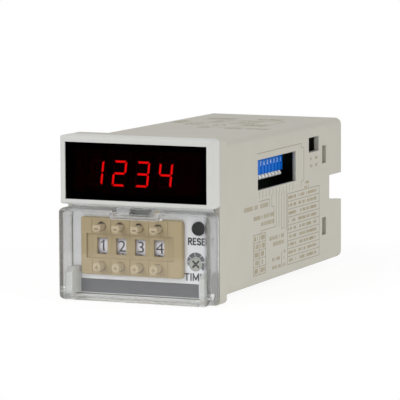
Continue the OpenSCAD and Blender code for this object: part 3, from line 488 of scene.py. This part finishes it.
def newPiece(name, mesh, body, material=None):
    piece = bpy.data.objects.new(name, mesh)
    scene.collection.objects.link(piece)
    if material:
        mesh.materials.clear()
        mesh.materials.append(material)
    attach(piece, body)


def meshFrom(shape, plane):
    bmesh.ops.recalc_face_normals(shape, faces=shape.faces)
    mesh = bpy.data.meshes.new("shape")
    shape.to_mesh(mesh)
    shape.free()
    mesh.transform(plane)
    return mesh


def addPrism(shape, outline, low=inkLow, high=inkHigh):  # closed slab over a flat outline
    under = [shape.verts.new((u, v, low)) for u, v in outline]
    upper = [shape.verts.new((u, v, high)) for u, v in outline]
    shape.faces.new(list(reversed(under)))
    shape.faces.new(upper)
    for k in range(len(outline)):
        n = (k + 1) % len(outline)
        shape.faces.new((under[k], under[n], upper[n], upper[k]))


def addRing(shape, outer, inner, low, high):  # closed frame between two outlines
    loops = [[shape.verts.new((u, v, w)) for u, v in line]
             for line, w in ((outer, low), (outer, high), (inner, high), (inner, low))]
    count = len(outer)
    for k in range(count):
        n = (k + 1) % count
        for a, b in ((0, 1), (1, 2), (2, 3), (3, 0)):
            shape.faces.new((loops[a][k], loops[a][n], loops[b][n], loops[b][k]))


def rectangle(u0, u1, v0, v1):
    return [(u0, v0), (u1, v0), (u1, v1), (u0, v1)]


def addStroke(shape, points, width):  # line of even width through corner points
    for (u0, v0), (u1, v1) in zip(points, points[1:]):
        along = Vector((u1 - u0, v1 - v0)).normalized() * width / 2
        side = Vector((-along.y, along.x))
        a, b = Vector((u0, v0)) - along, Vector((u1, v1)) + along
        addPrism(shape, [tuple(a - side), tuple(b - side), tuple(b + side), tuple(a + side)])


fontSet = {"steps": 3, "merge": 1e-4}


def plainMesh(holder):  # what an object's modifiers or curves come to
    return bpy.data.meshes.new_from_object(holder.evaluated_get(bpy.context.evaluated_depsgraph_get()))


def wordShape(words, height, weight):  # text as a closed slab of ink, centred, its capitals that high
    curve = bpy.data.curves.new("words", "FONT")
    curve.body = words
    curve.resolution_u = fontSet["steps"]
    curve.extrude = inkLift / 2
    curve.offset = weight
    holder = bpy.data.objects.new("words", curve)
    scene.collection.objects.link(holder)
    mesh = plainMesh(holder)
    bpy.data.objects.remove(holder)
    shape = bmesh.new()
    shape.from_mesh(mesh)
    bpy.data.meshes.remove(mesh)
    bmesh.ops.remove_doubles(shape, verts=shape.verts, dist=fontSet["merge"])
    us = [v.co.x for v in shape.verts]
    vs = [v.co.y for v in shape.verts]
    grow = height / (max(vs) - min(vs))
    middle = Vector(((max(us) + min(us)) / 2, (max(vs) + min(vs)) / 2, 0))
    for v in shape.verts:
        v.co -= middle
        v.co.x *= grow
        v.co.y *= grow
    return shape


def addShape(joined, shape):  # one shape into another, freed after that
    mesh = bpy.data.meshes.new("shape")
    shape.to_mesh(mesh)
    shape.free()
    joined.from_mesh(mesh)
    bpy.data.meshes.remove(mesh)


# growing trees for what repeats

def inkTree(name, sizes):
    return newGroup(name, "GeometryNodeTree", {**sizes, "Lift": inkLift, "Ink": "Material"},
                    {"Geometry": "Geometry"})


def rulerOf(tree, count, countOutput, step, stepOutput, direction):  # points in a row, one step apart
    offset = addNode(tree, "ShaderNodeCombineXYZ")
    wire(tree, step, stepOutput, offset, direction)
    row = addNode(tree, "GeometryNodeMeshLine", mode="OFFSET", count_mode="TOTAL")
    wire(tree, count, countOutput, row, "Count")
    wire(tree, offset, 0, row, "Offset")
    return row


def closeTree(tree, start, end, geometry):
    real = addNode(tree, "GeometryNodeRealizeInstances")
    ink = addNode(tree, "GeometryNodeSetMaterial")
    chain(tree, geometry, real, ink, end)
    wire(tree, start, "Ink", ink, "Material")


def makePrintedGrid():  # ruled table from its lower left corner
    tree, start, end = inkTree("printedGrid", {"Width": 10.0, "Height": 10.0, "Rows": 4, "Columns": 2,
                                               "Line": 0.2})
    both = addNode(tree, "GeometryNodeJoinGeometry")
    for count, along, direction, across, barAxis in (("Rows", "Height", "Y", "Width", "X"),
                                                     ("Columns", "Width", "X", "Height", "Y")):
        more = addNode(tree, "ShaderNodeMath", {1: 1.0}, operation="ADD")
        step = addNode(tree, "ShaderNodeMath", operation="DIVIDE")
        size = addNode(tree, "ShaderNodeCombineXYZ")
        reach = addNode(tree, "ShaderNodeMath", operation="ADD")
        half = addNode(tree, "ShaderNodeMath", {1: 0.5}, operation="MULTIPLY")
        middle = addNode(tree, "ShaderNodeCombineXYZ")
        bar = addNode(tree, "GeometryNodeMeshCube")
        moved = addNode(tree, "GeometryNodeTransform")
        copies = addNode(tree, "GeometryNodeInstanceOnPoints")
        wire(tree, start, count, more, 0)
        wire(tree, start, along, step, 0)
        wire(tree, start, count, step, 1)
        row = rulerOf(tree, more, 0, step, 0, direction)
        wire(tree, start, across, reach, 0)
        wire(tree, start, "Line", reach, 1)
        wire(tree, reach, 0, size, barAxis)
        wire(tree, start, "Line", size, direction)
        wire(tree, start, "Lift", size, "Z")
        wire(tree, start, across, half, 0)
        wire(tree, half, 0, middle, barAxis)
        wire(tree, size, 0, bar, "Size")
        wire(tree, bar, 0, moved, "Geometry")
        wire(tree, middle, 0, moved, "Translation")
        wire(tree, moved, 0, copies, "Instance")
        chain(tree, row, copies, both)
    closeTree(tree, start, end, both)
    return tree


def makeWordRows():  # rows of letter-sized blocks, centred; the ones left out part the words
    tree, start, end = inkTree("wordRows", {"Width": 10.0, "Height": 10.0, "Rows": 4, "Letters": 9,
                                            "Least Share": 0.45, "Widest": 0.6, "Letter": 0.9,
                                            "Kept": 0.85, "Seed": 0})
    grid = addNode(tree, "GeometryNodeMeshGrid")
    length = addNode(tree, "FunctionNodeRandomValue", {3: 1.0}, data_type="FLOAT")
    kept = addNode(tree, "FunctionNodeRandomValue", data_type="BOOLEAN")
    stretch = addNode(tree, "ShaderNodeMath", operation="MULTIPLY")
    size = addNode(tree, "ShaderNodeCombineXYZ")
    block = addNode(tree, "GeometryNodeMeshCube", {"Size": (1, 1, 1)})
    copies = addNode(tree, "GeometryNodeInstanceOnPoints")
    wire(tree, start, "Width", grid, "Size X")
    wire(tree, start, "Height", grid, "Size Y")
    wire(tree, start, "Letters", grid, "Vertices X")
    wire(tree, start, "Rows", grid, "Vertices Y")
    wire(tree, start, "Kept", kept, 6)  # of a random choice: 6 is the chance, 8 the seed, 3 the result
    wire(tree, start, "Seed", kept, 8)
    wire(tree, start, "Least Share", length, 2)  # of a random number: 2 and 3 are the limits, 1 the result
    wire(tree, start, "Seed", length, 8)
    wire(tree, length, 1, stretch, 0)
    wire(tree, start, "Widest", stretch, 1)
    wire(tree, stretch, 0, size, "X")
    wire(tree, start, "Letter", size, "Y")
    wire(tree, start, "Lift", size, "Z")
    wire(tree, grid, 0, copies, "Points")
    wire(tree, kept, 3, copies, "Selection")
    wire(tree, block, 0, copies, "Instance")
    wire(tree, size, 0, copies, "Scale")
    closeTree(tree, start, end, copies)
    return tree


def makeTickRow():  # short upright marks in a row, from the first one's middle
    tree, start, end = inkTree("tickRow", {"Count": 10, "Pitch": 2.5, "Length": 2.0, "Line": 0.2})
    size = addNode(tree, "ShaderNodeCombineXYZ")
    bar = addNode(tree, "GeometryNodeMeshCube")
    copies = addNode(tree, "GeometryNodeInstanceOnPoints")
    row = rulerOf(tree, start, "Count", start, "Pitch", "X")
    wire(tree, start, "Line", size, "X")
    wire(tree, start, "Length", size, "Y")
    wire(tree, start, "Lift", size, "Z")
    wire(tree, size, 0, bar, "Size")
    wire(tree, row, 0, copies, "Points")
    wire(tree, bar, 0, copies, "Instance")
    closeTree(tree, start, end, copies)
    return tree


printedGrid = makePrintedGrid()
wordRows = makeWordRows()
tickRow = makeTickRow()


def grow(tree, plane, place, settings):  # the tree's result as a plain mesh, laid on a plane
    holder = bpy.data.objects.new("growing", bpy.data.meshes.new("growing"))
    scene.collection.objects.link(holder)
    modifier = holder.modifiers.new("grow", "NODES")
    modifier.node_group = tree
    sockets = {item.name: item.identifier for item in tree.interface.items_tree if item.in_out == "INPUT"}
    for label, value in {**settings, "Lift": inkLift}.items():
        modifier[sockets[label]] = value
    mesh = plainMesh(holder)
    holder.modifiers.remove(modifier)
    bpy.data.objects.remove(holder)
    mesh.transform(plane @ Matrix.Translation((*place, inkMiddle)))
    return mesh


print("growing trees ready")


# red digits: seven segments each, the lit ones and the others as two pieces

digitSet = {"shown": "1234", "width": 4.2, "height": 7.45, "bar": 0.58, "gap": 0.16, "slant": 6.5,
            "tip": 0.12, "sink": 0.02, "rise": 0.06, "shift": -0.15, "drop": 0.07}
segmentsOf = {"1": "bc", "2": "abged", "3": "abgcd", "4": "fgbc"}


def segmentOutlines(look):  # mitred at the corners, pointed at the middle
    t, g, tip = look["bar"] / 2, look["gap"], look["tip"]
    w, h = look["width"] / 2 - t, look["height"] / 2 - t

    def lying(up):
        out, back = up * (h + t), up * (h - t)
        return [(-w - tip + g, out), (w + tip - g, out), (w - t - g, back), (-w + t + g, back)]

    def standing(side, up):
        out, back = side * (w + t), side * (w - t)
        return [(out, up * (h + tip - g)), (back, up * (h - t - g)), (back, up * (g + t)),
                (side * w, up * g), (out, up * (g + t))]

    flat = {"a": lying(1), "d": lying(-1), "b": standing(1, 1), "c": standing(1, -1),
            "e": standing(-1, -1), "f": standing(-1, 1),
            "g": [(-w + g, 0), (-w + g + t, -t), (w - g - t, -t),
                  (w - g, 0), (w - g - t, t), (-w + g + t, t)]}
    lean = math.tan(math.radians(look["slant"]))
    return {name: [(u + v * lean, v) for u, v in line] for name, line in flat.items()}


def makeDigits(look):
    outlines = segmentOutlines(look)
    lit, unlit = bmesh.new(), bmesh.new()
    for i, figure in enumerate(look["shown"], start=1):
        low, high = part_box(f"led_digit_{i}")
        centre = (low.x + high.x) / 2 / mm + look["shift"]
        for name, outline in outlines.items():
            moved = [(u + centre, v - look["drop"]) for u, v in outline]
            addPrism(lit if name in segmentsOf[figure] else unlit, moved, -look["sink"], look["rise"])
    plane = facingFront(0, low.y, (low.z + high.z) / 2)
    newPiece("segmentsLit", meshFrom(lit, plane), "case", segmentLit)
    newPiece("segmentsUnlit", meshFrom(unlit, plane), "case", inks["segmentUnlit"])


makeDigits(digitSet)

# black shade between the lens and the digits, inside the ledge that carries the lens

shadeSet = {"deep": 0.62, "ledge": 1.1, "edge": 0.05, "inner": 0.1, "clear": 0.05}


def makeShade(look):
    lensLow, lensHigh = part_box("display_lens")
    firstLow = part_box("led_digit_1")[0]
    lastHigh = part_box("led_digit_4")[1]

    def around(low, high, more):
        return rectangle(low.x / mm - more, high.x / mm + more, low.z / mm - more, high.z / mm + more)

    shape = bmesh.new()
    addRing(shape, around(lensLow, lensHigh, -look["ledge"] - look["edge"]),
            around(firstLow, lastHigh, look["inner"]), 0, look["deep"])
    plane = facingFront(0, lensHigh.y + (look["deep"] + look["clear"]) * mm, 0)
    newPiece("displayShade", meshFrom(shape, plane), "case", finishes["led_module"])


makeShade(shadeSet)
print("display dressed")


# numbers 0 to 9 round each wheel, the shown one at the front

numberSet = {"height": 3.2, "wide": 1.15, "shift": -0.25, "weight": -0.004, "steps": 10, "cut": 0.35,
             "flag": [(0.1, 0.0), (-0.75, -0.62), (-0.75, -1.02), (0.1, -0.45)], "stem": 0.1}


def makeWheelNumbers(i, look):
    low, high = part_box(f"number_wheel_{i}")
    radius = (high.z - low.z) / 2 / mm
    unitLow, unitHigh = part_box(f"thumbwheel_unit_{i}")
    centre = Vector(((unitLow.x + unitHigh.x) / 2, (low.y + high.y) / 2, (low.z + high.z) / 2))
    ring = bmesh.new()
    for figure in range(look["steps"]):
        shape = wordShape(str(figure), look["height"], look["weight"])
        if figure == 1:  # the stem gets its slanted flag
            flag = [(u, v + look["height"] / 2) for u, v in look["flag"]]
            addPrism(shape, flag, -inkLift / 2, inkLift / 2)
            bmesh.ops.translate(shape, vec=(look["stem"], 0, 0), verts=shape.verts)
        slices = int(look["height"] / look["cut"])
        for k in range(1, slices):
            level = (k / slices - 0.5) * look["height"]
            everything = shape.verts[:] + shape.edges[:] + shape.faces[:]
            bmesh.ops.bisect_plane(shape, geom=everything, plane_co=(0, level, 0), plane_no=(0, 1, 0))
        start = (figure - i) * math.tau / look["steps"]
        for v in shape.verts:
            turn = start + v.co.y / radius
            out = radius + v.co.z + inkMiddle
            v.co = (v.co.x * look["wide"] + look["shift"], -out * math.cos(turn), out * math.sin(turn))
        addShape(ring, shape)
    newPiece(f"wheelNumbers_{i}", meshFrom(ring, Matrix.Translation(centre) @ Matrix.Scale(mm, 4)),
             f"wheel_{i}", inks["wheelInk"])


wheelCount = len(digitSet["shown"])  # a wheel for each digit
for i in range(1, wheelCount + 1):
    makeWheelNumbers(i, numberSet)


# signs on the push buttons, their colour painted shade of the engraved minus and the embossed plus

signSet = {"reach": 0.7, "bar": 0.34, "away": 5.75, "minusReach": 0.55, "minusDrop": 0.4, "plusDrop": 0.1}


def makeSign(kind, i, look):
    unitLow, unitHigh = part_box(f"thumbwheel_unit_{i}")
    r, b = look["reach"], look["bar"] / 2
    shape = bmesh.new()
    if kind == "minus":
        outline = rectangle(-look["minusReach"], look["minusReach"], -b, b)
        middle = look["away"] - look["minusDrop"]
    else:
        outline = [(-r, -b), (-b, -b), (-b, -r), (b, -r), (b, -b), (r, -b),
                   (r, b), (b, b), (b, r), (-b, r), (-b, b), (-r, b)]
        middle = -look["away"] - look["plusDrop"]
    addPrism(shape, outline)
    plane = facingFront((unitLow.x + unitHigh.x) / 2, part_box(f"{kind}_button_{i}")[0].y,
                        (unitLow.z + unitHigh.z) / 2 + middle * mm)
    # the sign's colour is painted shade of the relief on the button
    newPiece(f"{kind}Sign_{i}", meshFrom(shape, plane), f"{kind}_{i}", inks[f"{kind}Ink"])


for i in range(1, wheelCount + 1):
    makeSign("minus", i, signSet)
    makeSign("plus", i, signSet)
print("push wheels dressed")


# print on the front sheet

bandSet = {"left": -20.1, "right": 17.7, "top": -18.0, "foot": -22.0}
resetWord = {"text": "RESET", "left": 14.35, "middle": -5.7, "height": 2.15, "narrow": 0.75,
             "stroke": 0.42, "space": 0.14}
timeWord = {"text": "TIME", "left": 13.2, "middle": -16.0, "height": 2.2, "narrow": 0.7,
            "stroke": 0.42, "space": 0.3}


def bow(u, v, across, up, first, last, steps=8):  # round stretch of a letter, between two turns
    turns = [math.radians(first + (last - first) * k / steps) for k in range(steps + 1)]
    return [(u + across * math.cos(turn), v + up * math.sin(turn)) for turn in turns]


letterLines = {  # strokes on a grid one unit high
    "R": [[(0, 0), (0, 1), *bow(0.42, 0.75, 0.25, 0.25, 90, -90), (0, 0.5)], [(0.35, 0.5), (0.7, 0)]],
    "E": [[(0.55, 1), (0, 1), (0, 0), (0.55, 0)], [(0, 0.52), (0.48, 0.52)]],
    "S": [[*bow(0.38, 0.76, 0.35, 0.24, 25, 270), *bow(0.38, 0.26, 0.36, 0.26, 80, -155)]],
    "T": [[(0, 1), (0.9, 1)], [(0.45, 1), (0.45, 0)]],
    "I": [[(0, 0), (0, 1)]],
    "M": [[(0, 0), (0, 1), (0.65, 0.12), (1.3, 1), (1.3, 0)]],
}
scaleSet = {"centre": (16.8, -11.6), "inner": 1.45, "outer": 2.75, "clear": 0.15, "steps": 6,
            "sectors": [(205, 182), (178, 148), (144, 100), (96, 48), (44, 3), (-3, -48)], "tail": 3.4}


def scaleRing(look, holeX, holeZ, holeR):  # sectors round the trimmer, the last one growing to the tail
    away = Vector((look["centre"][0] - holeX, look["centre"][1] - holeZ))
    ring = bmesh.new()
    for first, last in look["sectors"]:
        more = look["tail"] - look["outer"] if (first, last) == look["sectors"][-1] else 0
        outer, inner = [], []
        for k in range(look["steps"] + 1):
            share = k / look["steps"]
            turn = math.radians(first + (last - first) * share)
            ray = Vector((math.cos(turn), math.sin(turn)))
            along = away.dot(ray)
            edge = math.sqrt(along ** 2 - away.length_squared + holeR ** 2) - along
            outer.append(tuple(ray * (look["outer"] + more * share)))
            inner.append(tuple(ray * max(look["inner"], edge)))
        addPrism(ring, outer + inner[::-1])
    return ring


def strokeWord(look):
    shape = bmesh.new()
    size = look["height"] - look["stroke"]
    start = look["left"] + look["stroke"] / 2
    for letter in look["text"]:
        for line in letterLines[letter]:
            points = [(start + u * size * look["narrow"], look["middle"] + (v - 0.5) * size)
                      for u, v in line]
            addStroke(shape, points, look["stroke"])
        widest = max(u for line in letterLines[letter] for u, v in line)
        start += widest * size * look["narrow"] + look["stroke"] + look["space"]
    return shape


def makeSheetPrint():
    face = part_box("front_label")[0].y
    plane = facingFront(0, face, 0)
    band = bmesh.new()
    outline = rectangle(bandSet["left"], bandSet["right"], bandSet["foot"], bandSet["top"])
    addPrism(band, outline)
    newPiece("sheetBand", meshFrom(band, plane), "case", inks["bandInk"])
    for name, word in (("resetWord", resetWord), ("timeWord", timeWord)):
        newPiece(name, meshFrom(strokeWord(word), plane), "case", inks["darkInk"])
    low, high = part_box("trimmer_rotor")
    ring = scaleRing(scaleSet, (low.x + high.x) / 2 / mm, (low.z + high.z) / 2 / mm,
                     (high.x - low.x) / 2 / mm + scaleSet["clear"])
    ringPlane = facingFront(scaleSet["centre"][0] * mm, face, scaleSet["centre"][1] * mm)
    newPiece("trimmerScale", meshFrom(ring, ringPlane), "case", inks["bandInk"])


makeSheetPrint()
print("front sheet printed")


# print on the right side: tables, leaders and rows of small blocks

bodyHalf = 22.5  # half the housing's width and height behind its frame
sidePlane = flatOn((bodyHalf * mm, 0, 0), (0, 1, 0), (0, 0, 1))
bigTable = {"left": 49.4, "foot": -18.9, "width": 25.4, "height": 21.4, "rows": 9, "columns": 1}
smallTable = {"left": 23.2, "foot": -19.1, "width": 9.2, "height": 12.0, "rows": 5, "columns": 2}
leaderSet = {"count": 11, "first": 27.7, "pitch": 2.6, "top": 5.3, "length": 1.9, "line": 0.2}
sideRows = [
    {"centre": (53.1, -8.2), "size": (5.6, 19.0), "rows": 9, "letters": 9, "letter": 0.9, "seed": 3},
    {"centre": (60.8, -8.2), "size": (5.0, 19.0), "rows": 9, "letters": 8, "letter": 0.9, "seed": 8},
    {"centre": (68.4, -8.2), "size": (7.6, 19.0), "rows": 9, "letters": 12, "letter": 0.9, "seed": 9},
    {"centre": (25.5, -13.1), "size": (2.6, 9.6), "rows": 5, "letters": 5, "letter": 1.4, "seed": 5},
    {"centre": (30.1, -13.1), "size": (2.6, 9.6), "rows": 5, "letters": 5, "letter": 1.4, "seed": 6},
    {"centre": (25.7, 1.0), "size": (18.4, 0.0), "rows": 1, "letters": 22, "letter": 1.3, "seed": 11},
    {"centre": (31.0, -2.3), "size": (14.4, 0.0), "rows": 1, "letters": 18, "letter": 1.2, "seed": 14},
    {"centre": (33.4, -4.4), "size": (9.8, 0.0), "rows": 1, "letters": 12, "letter": 1.2, "seed": 15},
    {"centre": (41.0, -9.5), "size": (10.6, 0.0), "rows": 1, "letters": 13, "letter": 1.2, "seed": 21},
    {"centre": (42.2, -11.4), "size": (7.8, 0.0), "rows": 1, "letters": 10, "letter": 1.2, "seed": 22},
    {"centre": (40.9, -17.2), "size": (6.0, 2.4), "rows": 2, "letters": 8, "letter": 1.0, "seed": 25},
    {"centre": (46.6, -16.4), "size": (1.6, 4.0), "rows": 3, "letters": 3, "letter": 1.0, "seed": 27},
    {"centre": (68.4, 10.2), "size": (1.4, 2.2), "rows": 2, "letters": 3, "letter": 0.9, "seed": 31},
    {"centre": (72.4, 10.2), "size": (1.4, 2.2), "rows": 2, "letters": 3, "letter": 0.9, "seed": 33},
    {"centre": (64.6, 3.8), "size": (3.2, 1.4), "rows": 2, "letters": 5, "letter": 0.8, "seed": 36},
]
wordLook = {"least": 0.45, "wide": 0.62, "kept": 0.8}


def makeTable(name, table):
    mesh = grow(printedGrid, sidePlane, (table["left"], table["foot"]),
                {"Width": table["width"], "Height": table["height"], "Rows": table["rows"],
                 "Columns": table["columns"], "Line": leaderSet["line"], "Ink": inks["lineInk"]})
    newPiece(name, mesh, "case")


def makeRows(name, plane, block, ink, look):
    mesh = grow(wordRows, plane, block["centre"],
                {"Width": block["size"][0], "Height": block["size"][1], "Rows": block["rows"],
                 "Letters": block["letters"], "Least Share": look["least"], "Widest": look["wide"],
                 "Letter": block["letter"], "Kept": look["kept"], "Seed": block["seed"], "Ink": ink})
    newPiece(name, mesh, "case")


def drawLines(name, lines, width, plane, ink):
    shape = bmesh.new()
    for line in lines:
        addStroke(shape, line, width)
    newPiece(name, meshFrom(shape, plane), "case", ink)


def makeLeaders():
    ticks = grow(tickRow, sidePlane, (leaderSet["first"], leaderSet["top"] - leaderSet["length"] / 2),
                 {"Count": leaderSet["count"], "Pitch": leaderSet["pitch"], "Length": leaderSet["length"],
                  "Line": leaderSet["line"], "Ink": inks["lineInk"]})
    newPiece("sideTicks", ticks, "case")
    foot = leaderSet["top"] - leaderSet["length"]
    routes = [
        [(26.0, 16.7), (60.4, 16.7), (60.4, 15.6), (62.4, 15.2), (62.4, 5.4), (60.2, 5.0), (60.2, 3.6)],
        [(27.8, 2.5), (35.4, 2.5), (35.4, 0.3)],
        [(37.2, foot), (37.2, 0.0), (38.8, 0.0), (38.8, -5.8)],
        [(40.6, foot), (40.6, -6.3), (29.0, -6.3), (29.0, -7.1)],
        [(42.7, foot), (42.7, -6.5)],
        [(44.7, foot), (44.7, -7.4), (46.7, -7.4), (46.7, foot)],
        [(48.6, foot), (48.6, -8.4)],
        [(44.7, -14.4), (44.7, -19.0)],
    ]
    drawLines("sideLeaders", routes, leaderSet["line"], sidePlane, inks["lineInk"])


makeTable("sideTableBig", bigTable)
makeTable("sideTableSmall", smallTable)
for k, block in enumerate(sideRows, start=1):
    makeRows(f"sideRows_{k}", sidePlane, block, inks["wordInk"], wordLook)
makeLeaders()

# print on the top, which falls a little towards the rear

topSet = {"draft": 0.8, "length": 93.0}
topPlane = flatOn((0, 0, bodyHalf * mm), (1, 0, 0), (0, topSet["length"], -topSet["draft"]))
topRows = [
    {"centre": (-17.2, 60.5), "size": (2.6, 6.6), "rows": 4, "letters": 4, "letter": 1.5, "seed": 41},
    {"centre": (-11.2, 56.0), "size": (2.6, 7.2), "rows": 4, "letters": 4, "letter": 1.5, "seed": 42},
    {"centre": (-9.8, 75.6), "size": (9.2, 2.0), "rows": 2, "letters": 12, "letter": 1.5, "seed": 43},
    {"centre": (5.6, 77.0), "size": (7.2, 2.0), "rows": 2, "letters": 10, "letter": 1.5, "seed": 44},
    {"centre": (-5.6, 65.4), "size": (4.0, 6.0), "rows": 3, "letters": 5, "letter": 1.2, "seed": 45},
    {"centre": (3.4, 66.2), "size": (5.2, 8.0), "rows": 4, "letters": 7, "letter": 1.2, "seed": 46},
    {"centre": (-1.4, 54.4), "size": (3.4, 2.2), "rows": 2, "letters": 5, "letter": 1.5, "seed": 47},
    {"centre": (9.0, 56.6), "size": (5.6, 4.4), "rows": 3, "letters": 8, "letter": 1.2, "seed": 48},
    {"centre": (-2.6, 44.2), "size": (3.0, 0.0), "rows": 1, "letters": 4, "letter": 1.6, "seed": 49},
    {"centre": (7.2, 43.8), "size": (5.0, 0.0), "rows": 1, "letters": 7, "letter": 1.6, "seed": 50},
    {"centre": (15.0, 44.6), "size": (7.0, 0.0), "rows": 1, "letters": 9, "letter": 1.6, "seed": 51},
]
topLook = {"least": 0.45, "wide": 0.75, "kept": 0.88}
topRoutes = {"line": 0.25, "lines": [
    [(-14.4, 71.4), (12.6, 71.4), (12.6, 52.0)],
    [(-8.2, 71.4), (-8.2, 51.0), (-4.2, 51.0)],
    [(-0.4, 71.4), (-0.4, 58.6), (5.8, 58.6), (5.8, 48.6)],
    [(-4.6, 47.0), (18.2, 47.0)],
]}
for k, block in enumerate(topRows, start=1):
    makeRows(f"topRows_{k}", topPlane, block, inks["topInk"], topLook)
drawLines("topLines", topRoutes["lines"], topRoutes["line"], topPlane, inks["topInk"])
print("housing printed")


# numbers over the switch keys and beside the terminals

keyNumberSet = {"height": 1.25, "up": 3.25, "weight": 0.015, "count": 10}
terminalNumberSet = {"height": 1.9, "face": 84.5, "pitch": 6.5, "away": 4.7, "count": 6, "weight": 0.015}


def joinFigures(places, look):  # figures at their places on a plane, in one shape
    joined = bmesh.new()
    for words, u, v in places:
        shape = wordShape(words, look["height"], look["weight"])
        bmesh.ops.translate(shape, vec=(u, v, inkMiddle), verts=shape.verts)
        addShape(joined, shape)
    return joined


def makeKeyNumbers(look):
    bodyLow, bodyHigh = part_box("dip_switch_body")
    places = []
    for i in range(1, look["count"] + 1):
        low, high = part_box(f"dip_key_{i}")
        places.append((str(i), (low.y + high.y) / 2 / mm, bodyLow.z / mm + look["up"]))
    plane = flatOn((bodyHigh.x, 0, 0), (0, 1, 0), (0, 0, 1))
    newPiece("keyNumbers", meshFrom(joinFigures(places, look), plane), "case", inks["whiteInk"])


def makeTerminalNumbers(look):
    places = []
    for i in range(look["count"]):
        across = (i - (look["count"] - 1) / 2) * look["pitch"]
        places.append((str(i + 1), across, look["away"]))
        places.append((str(i + 1 + look["count"]), across, -look["away"]))
    plane = flatOn((0, look["face"] * mm, 0), (-1, 0, 0), (0, 0, 1))
    newPiece("terminalNumbers", meshFrom(joinFigures(places, look), plane), "case", inks["darkInk"])


makeKeyNumbers(keyNumberSet)
makeTerminalNumbers(terminalNumberSet)
print("switches dressed")


# camera, light and floor

cameraSet = {"place": (418.636, -911.910, 119.571), "turn": (83.47995, 0.23847, 23.81273),
             "lens": 314.41, "sensor": 36.0, "near": 0.01}


def makeCamera(look):
    camera = bpy.data.objects.new("camera", bpy.data.cameras.new("camera"))
    scene.collection.objects.link(camera)
    camera.location = Vector(look["place"]) * mm
    camera.rotation_euler = [math.radians(a) for a in look["turn"]]
    camera.data.lens = look["lens"]
    camera.data.sensor_width = look["sensor"]
    camera.data.clip_start = look["near"]
    scene.camera = camera


floorSet = {"half": 0.16, "centre": (0.0, 0.05), "drop": 0.05, "colour": (0.93, 0.93, 0.93, 1.0),
            "rough": 0.9, "white": 0.85, "near": 0.06, "far": 0.155, "glow": 0.25}
worldSet = {"ambient": 0.54, "mirrored": 0.1, "through": 0.75, "from": -0.2, "to": 0.5}
lamps = [
    {"name": "keyLamp", "place": (-0.45, -0.85, 0.62), "size": 0.7, "power": 5.3},
    {"name": "sideLamp", "place": (0.95, -0.15, 0.45), "size": 0.7, "power": 3.5},
]


def makeFloor(look):
    shape = bmesh.new()
    half = look["half"]
    middle = Vector((*look["centre"], cadLow.z - look["drop"] * mm))
    corners = [shape.verts.new((x, y, 0)) for x, y in rectangle(-half, half, -half, half)]
    shape.faces.new(corners)
    mesh = bpy.data.meshes.new("floor")
    shape.to_mesh(mesh)
    shape.free()
    mesh.transform(Matrix.Translation(middle))
    floor = bpy.data.objects.new("floor", mesh)
    scene.collection.objects.link(floor)
    material, tree, shader = newMaterial("paleFloor")
    shader.inputs["Base Color"].default_value = look["colour"]
    shader.inputs["Roughness"].default_value = look["rough"]
    shader.inputs["Specular IOR Level"].default_value = 0.0
    shader.inputs["Emission Color"].default_value = (1, 1, 1, 1)
    shader.inputs["Emission Strength"].default_value = look["glow"]
    white = addNode(tree, "ShaderNodeEmission")
    place = addNode(tree, "ShaderNodeTexCoord")
    away = addNode(tree, "ShaderNodeVectorMath", {1: middle}, operation="DISTANCE")
    fade = rampOf(tree, look["near"], look["far"], low=look["white"])
    path = addNode(tree, "ShaderNodeLightPath")
    mirrored = higher(tree, path, "Is Camera Ray", path, "Is Glossy Ray")
    seen = higher(tree, mirrored, 0, path, "Is Transmission Ray")
    share = addNode(tree, "ShaderNodeMath", operation="MULTIPLY")
    mixed = addNode(tree, "ShaderNodeMixShader")
    wire(tree, place, "Object", away, 0)
    wire(tree, away, "Value", fade, "Value")
    chain(tree, fade, share, mixed)
    wire(tree, seen, 0, share, 1)
    wire(tree, shader, 0, mixed, 1)
    wire(tree, white, 0, mixed, 2)
    wire(tree, mixed, 0, tree.nodes["Material Output"], "Surface")
    mesh.materials.append(material)


def makeWorld(look):
    world = bpy.data.worlds.new("studio")
    scene.world = world
    world.use_nodes = True
    tree = world.node_tree
    place = addNode(tree, "ShaderNodeTexCoord")
    parts = addNode(tree, "ShaderNodeSeparateXYZ")
    ahead = rampOf(tree, look["from"], look["to"], low=look["mirrored"])
    path = addNode(tree, "ShaderNodeLightPath")
    mirror = addNode(tree, "ShaderNodeMix", {2: look["ambient"]}, data_type="FLOAT")
    level = addNode(tree, "ShaderNodeMix", {3: look["through"]}, data_type="FLOAT")
    sky = tree.nodes["Background"]
    sky.inputs["Color"].default_value = (1, 1, 1, 1)
    wire(tree, place, "Generated", parts, 0)
    wire(tree, parts, "Y", ahead, "Value")
    wire(tree, path, "Is Glossy Ray", mirror, 0)
    wire(tree, ahead, 0, mirror, 3)
    wire(tree, path, "Is Transmission Ray", level, 0)
    wire(tree, mirror, 0, level, 2)
    wire(tree, higher(tree, level, 0, path, "Is Camera Ray"), 0, sky, "Strength")


def makeLamp(look):
    lamp = bpy.data.objects.new(look["name"], bpy.data.lights.new(look["name"], "AREA"))
    scene.collection.objects.link(lamp)
    lamp.data.size = look["size"]
    lamp.data.energy = look["power"]
    lamp.location = look["place"]
    middle = (cadLow + cadHigh) / 2
    lamp.rotation_euler = (middle - lamp.location).to_track_quat("-Z", "Y").to_euler()


makeCamera(cameraSet)
makeFloor(floorSet)
makeWorld(worldSet)
for look in lamps:
    makeLamp(look)
scene.view_settings.view_transform = "Standard"
print("camera, light and floor ready")
